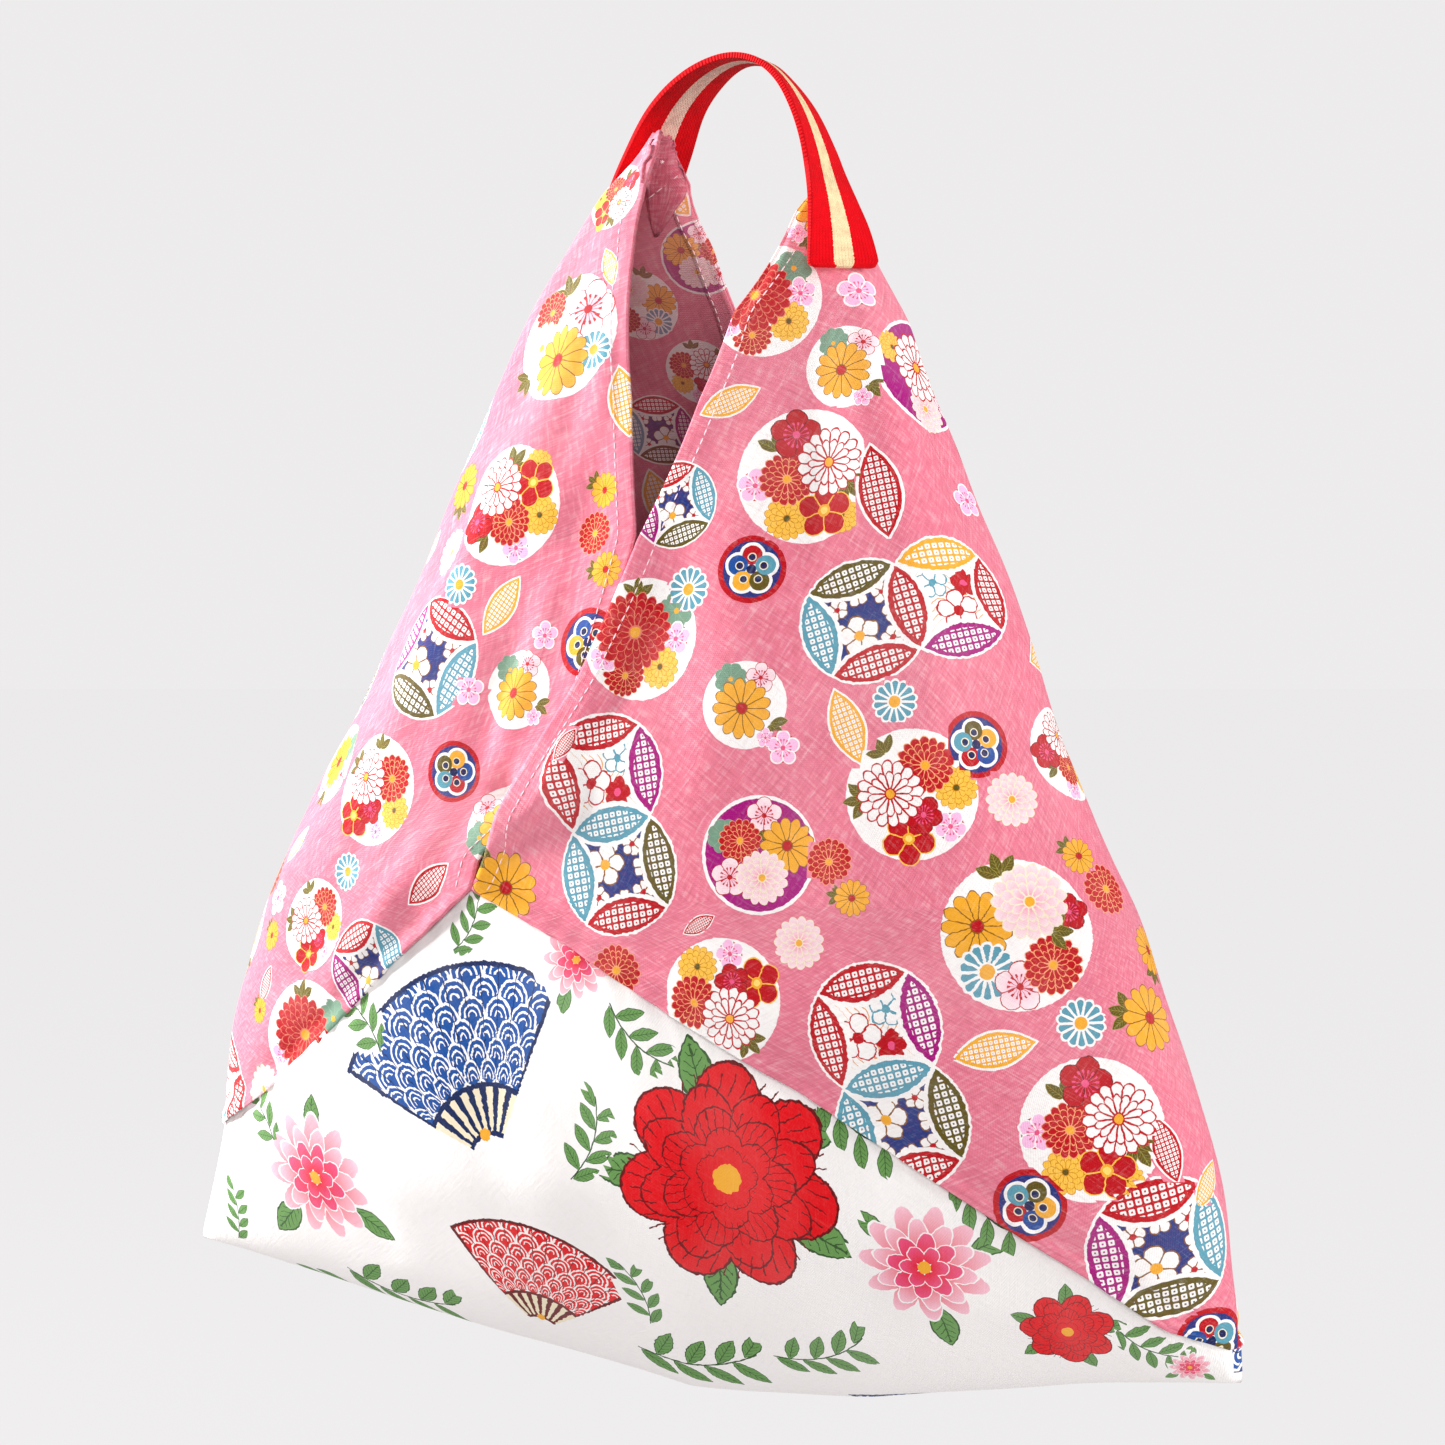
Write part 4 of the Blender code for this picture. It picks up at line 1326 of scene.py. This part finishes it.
# %% Hems and stitches
HEM_WIDTH = 0.009
HEM_CLOTH = 0.0010
STITCH_INSET = 0.0078
STITCH_PITCH = 0.0040
STITCH_LENGTH = 0.0031
THREAD_RADIUS = 0.00026
THREAD_LIFT = 0.00008      # of the stitches over the cloth, and over the hem inside
HEM_THREAD_LIFT = 0.00030
HEM_GAP = 0.0002


def beside_hem(panel, values, front, distance):
    """Values of a grid array at a distance from the hem, one for each row above the valley."""
    order = slice(None) if front else slice(None, None, -1)
    found = []
    for row in range(SEAM_ROW, panel.points.shape[1]):
        line = panel.points[order, row]
        run = np.concatenate([[0], np.cumsum(np.linalg.norm(np.diff(line, axis=0), axis=1))])
        column = values[order, row]
        found.append([np.interp(distance, run, column[:, k]) for k in range(column.shape[1])])
    return np.array(found)


def hem_ribbon(panel, front):
    """The turned edge of one hem, on the inside of the cloth."""
    steps = np.linspace(0.0004, HEM_WIDTH, 5)
    points, cloth = [], []
    for step in steps:
        outward = beside_hem(panel, panel.outward, front, step)
        points.append(beside_hem(panel, panel.points, front, step) - outward * (HEM_CLOTH + HEM_GAP))
        cloth.append(beside_hem(panel, panel.cloth, front, step))
    flip = panel.flip if front else not panel.flip
    name = panel.name.replace("cloth", "front_hem" if front else "back_hem")
    return Panel(name, np.array(points), np.array(cloth), flip, panel.motifs)


def thread_material(name, colour):
    art = Art(name, colour, 0.0)
    place = art.node("ShaderNodeTexCoord", {}, {}, 3)
    twist = art.node("ShaderNodeTexNoise", {}, {"Vector": place, "Scale": 2600.0, "Detail": 1.0})
    return art.surface(art.mix(twist.over(0.4, 0.8), colour, colour_of(190, 130, 140)), 0.7, 0.5)


def stitches(mesh, line, pitch=STITCH_PITCH, length=STITCH_LENGTH, radius=THREAD_RADIUS):
    """Rounded rods along a line of points, a pitch apart."""
    run = np.concatenate([[0], np.cumsum(np.linalg.norm(np.diff(line, axis=0), axis=1))])
    count = int(run[-1] / pitch)
    for number in range(count):
        start = (number + 0.15) * pitch
        ends = [Vector([np.interp(at, run, line[:, k]) for k in range(3)])
                for at in (start, start + length)]
        turn = (ends[1] - ends[0]).to_track_quat("Z", "Y").to_matrix().to_4x4()
        shape = Matrix.Diagonal((radius, radius, (ends[1] - ends[0]).length / 2, 1.0))
        matrix = Matrix.Translation((ends[0] + ends[1]) / 2) @ turn @ shape
        bmesh.ops.create_uvsphere(mesh, u_segments=6, v_segments=4, radius=1.0, matrix=matrix)
    return count


def hem_stitches(panel):
    mesh = bmesh.new()
    count = 0
    for front in (True, False):
        line = beside_hem(panel, panel.points, front, STITCH_INSET)
        outward = beside_hem(panel, panel.outward, front, STITCH_INSET)
        count += stitches(mesh, line + outward * (CLOTH + THREAD_LIFT))
        count += stitches(mesh, line - outward * (HEM_CLOTH + HEM_THREAD_LIFT))
    data = mesh_data(mesh, panel.name.replace("cloth", "stitches"))
    print(data.name, count)
    return mesh_object(data.name, data)


hem_thread = thread_material("hem_thread", colour_of(250, 224, 230))
for panel, cloth in ((left_wing, left_cloth), (right_wing, right_cloth)):
    trim = [cloth_object(hem_ribbon(panel, front), list(DRAWINGS), pink_front, pink_reverse)
            for front in (True, False)]
    sewing = hem_stitches(panel)
    sewing.data.materials.append(hem_thread)
    trim.append(sewing)
    for piece in (cloth, *trim):
        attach(piece, "root")
    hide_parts(panel.name.replace("_cloth", ""))
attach(base_cloth, "root")
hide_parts("base_panel")

# %% [markdown]
# The corner of the left wing is folded down inside the peak and sewn, and it shows there as
# plain dark pink. Its outline is given by rows of pixels, and each point is laid on the inside of
# the wing behind it.

# %% Folded corner of the left peak
# Columns: height, left edge and right edge in the picture
PEAK_FOLD = (
    (134, 666, 676), (142, 654, 682), (165, 648, 686), (185, 645, 687), (197, 647, 683),
    (215, 650, 672), (235, 655, 659))
PEAK_COLUMNS, PEAK_ROWS = 8, 16
PEAK_KNOT = (662, 158)
PEAK_STITCHES = ((649, 196), (684, 170))
PEAK_LIFT, PEAK_THREAD_LIFT = 0.0016, 0.0032
PEAK_GRID_STEP = 0.0025


def inside_of(panel, tree, px, py, rise):
    """A place on the inside of a wing. A pixel beside the cloth is drawn towards the knot."""
    hit, pull = None, 0.0
    while hit is None:
        spot = (px + (PEAK_KNOT[0] - px) * pull, py + (PEAK_KNOT[1] - py) * pull)
        hit = panel.seen_at(*spot, tree)
        pull += 0.04
    place, outward, _ = hit
    toward = -1 if outward @ np.array(sight(*spot)) > 0 else 1
    return place + outward * toward * rise


def peak_fold():
    tree = left_wing.tree()
    rows = np.array(PEAK_FOLD, dtype=float)
    heights = np.linspace(rows[0, 0], rows[-1, 0], PEAK_ROWS + 1)
    points = np.zeros((PEAK_COLUMNS + 1, PEAK_ROWS + 1, 3))
    for j, py in enumerate(heights):
        left, right = np.interp(py, rows[:, 0], rows[:, 1]), np.interp(py, rows[:, 0], rows[:, 2])
        for i in range(PEAK_COLUMNS + 1):
            px = left + (right - left) * i / PEAK_COLUMNS
            points[i, j] = inside_of(left_wing, tree, px, py, PEAK_LIFT)
    data, i, j = grid_data("left_peak_fold", points, False)
    spots = np.stack([i, j], axis=1) * PEAK_GRID_STEP
    write_map(data, "print", spots * 0 + OFF_PRINT)
    write_map(data, "cloth", spots)
    art = Art("folded_corner", colour_of(206, 104, 122))
    data.materials.append(art.finish(colour_of(150, 60, 80)))
    fold_piece = mesh_object("left_peak_fold", data)
    give_wall(fold_piece, 0.0010)
    sewing = bmesh.new()
    ends = [inside_of(left_wing, tree, px, py, PEAK_THREAD_LIFT) for px, py in PEAK_STITCHES]
    stitches(sewing, np.array(ends), 0.0042, 0.0036)
    knot = inside_of(left_wing, tree, *PEAK_KNOT, PEAK_THREAD_LIFT)
    for turn in (20, 75, 140):
        way = math.radians(turn)
        aside = np.array((math.cos(way), 0.0, math.sin(way))) * 0.0012
        stitches(sewing, np.array([knot - aside, knot + aside]), 0.0023, 0.0019, 0.0003)
    data = mesh_data(sewing, "left_peak_stitches")
    data.materials.append(hem_thread)
    for piece in (fold_piece, mesh_object("left_peak_stitches", data)):
        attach(piece, "root")


peak_fold()

# %% [markdown]
# The strap is flat cotton webbing, red with a cream stripe along its middle. It leaves the
# outside of one peak, turns over at the top and comes down on the outside of the other, so
# its duller inner side shows on the left and its outer side on the right. It follows the same
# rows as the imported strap, and a bevel rounds its thick edges.

# %% The strap
STRAP_ROUTE = (
    (-0.099, 0.146, 0.884, 14), (-0.081, 0.122, 0.930, 12), (-0.063, 0.097, 0.967, 26),
    (-0.043, 0.070, 1.002, 43), (-0.017, 0.041, 1.025, 55), (0.011, 0.014, 1.036, 68),
    (0.036, -0.007, 1.033, 74), (0.056, -0.026, 1.018, 76), (0.074, -0.048, 0.993, 71),
    (0.088, -0.069, 0.961, 65), (0.099, -0.088, 0.923, 54), (0.107, -0.103, 0.893, 37),
    (0.112, -0.117, 0.864, 20))
STRAP_COLUMNS, STRAP_ROWS = 24, 260
STRAP_CORNER = 0.0035
STRIPE_HALF = 0.145
STRAP_BEVEL = 0.0009


def strap_middle(share):
    """Middle of the inner face and the direction of the width, along the route."""
    rows = np.array(STRAP_ROUTE)
    keyed = np.column_stack([np.arange(len(rows)), rows])
    key = share * (len(rows) - 1)
    side, depth, height, turn = (curved(keyed, key, column) for column in range(1, 5))
    middle = np.stack([side * BODY_WIDTH, depth * BODY_WIDTH, height * BODY_HEIGHT], axis=-1)
    width = np.stack([np.cos(np.radians(turn)), np.sin(np.radians(turn)), 0 * turn], axis=-1)
    return middle, width


def strap_points(across, along):
    middle, width = strap_middle(along)
    push = np.zeros(along.shape)
    reach = CLOTH + STRAP_SEAT
    for column in range(7):
        point = middle + width * (column / 6 - 0.5) * STRAP_WIDTH
        left, right = outline(point[..., 2])
        place = (point[..., 0] - (left + right) / 2) / ((right - left) / 2)
        place = np.clip(place, -STRAP_REACH, STRAP_REACH)
        behind = body_point(place, point[..., 2], 1)[..., 1] + HANG.y + reach - point[..., 1]
        before = body_point(place, point[..., 2], -1)[..., 1] + HANG.y - reach - point[..., 1]
        push = np.where(along < 0.5, np.maximum(push, behind), np.minimum(push, before))
    peak = np.where(along < 0.5, FRONT_LEFT_HEM[-1][0], FRONT_RIGHT_HEM[-1][0]) * BODY_HEIGHT
    push = push * smooth_step((peak + 0.010 - middle[..., 2]) / 0.016)
    points = middle + width * ((across - 0.5) * STRAP_WIDTH)[..., None]
    points[..., 1] += push
    return points - np.array(HANG)


def webbing_material(name, red, cream, darker_side):
    art = Art(name, red, 0.0)
    x, y = art.x, art.y
    ragged = art.streaks(x * 3, y * 900)
    aside = abs(x - 0.5) + (ragged - 0.5) * 0.05
    art.paint(aside < STRIPE_HALF, cream)
    step = 2 * math.pi
    ribs = (x * (step * 21)).sin() * 0.5 + 0.5
    picks = ((y * (step * 620) + (x * 42).floor() * math.pi).sin() * 0.5 + 0.5)
    patches = art.streaks(x * 7, y * 240)
    # The darker side takes maroon patches and stronger specks, the outer side lighter red patches and
    # faint specks.
    dark = MAROON if darker_side else colour_of(170, 0, 16)
    colour = art.mix(patches.over(0.42, 0.9), art.colour, dark)
    in_stripe = aside < STRIPE_HALF
    specks = (art.streaks(x * 90, y * 3200) > 0.66) * in_stripe
    colour = art.mix(specks * (0.55 if darker_side else 0.14), colour, colour_of(150, 70, 66))
    rim = (x < 0.03).most(x > 0.97)
    colour = art.mix(rim * 0.30, colour, colour_of(150, 0, 14))
    height = ribs * 0.7 + picks * 0.8 + patches * 0.6
    return art.surface(colour, 0.85, 0.12, {"Strength": 0.8, "Distance": 0.00035, "Height": height})


def make_strap():
    along_share = np.linspace(0, 1, STRAP_ROWS + 1)
    across, along = np.meshgrid(np.linspace(0, 1, STRAP_COLUMNS + 1), along_share, indexing="ij")
    middle = strap_points(across * 0 + 0.5, along)
    length = float(np.linalg.norm(np.diff(middle[0], axis=0), axis=1).sum())
    to_end = np.minimum(along, 1 - along) * length
    bite = STRAP_CORNER * (1 - np.sqrt(1 - np.clip(1 - to_end / STRAP_CORNER, 0, 1) ** 2))
    narrow = 1 - 2 * bite / STRAP_WIDTH
    points = strap_points(0.5 + (across - 0.5) * narrow, along)
    data, i, j = grid_data("strap_webbing", points, True)
    # The inner side is drawn darker and greyer than the outer side: a deeper red, a greyer cream,
    # darker patches and stronger specks.
    inside = webbing_material("webbing_inside", colour_of(196, 4, 20), colour_of(222, 190, 172), True)
    data.materials.append(webbing_material("webbing", SCARLET, colour_of(240, 220, 172), False))
    data.materials.append(inside)
    spots = np.stack([i / STRAP_COLUMNS, j / STRAP_ROWS * length], axis=1)
    write_map(data, "print", spots)
    write_map(data, "cloth", spots)
    strap = mesh_object("strap_webbing", data)
    give_wall(strap, STRAP_WALL, 1)
    rounding = strap.modifiers.new("rounded_edges", "BEVEL")
    rounding.width = STRAP_BEVEL
    rounding.segments = 3
    rounding.limit_method = "ANGLE"
    rounding.angle_limit = math.radians(50)
    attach(strap, "root")
    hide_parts("handle_strap")
    print("strap length:", round(length, 4))


make_strap()
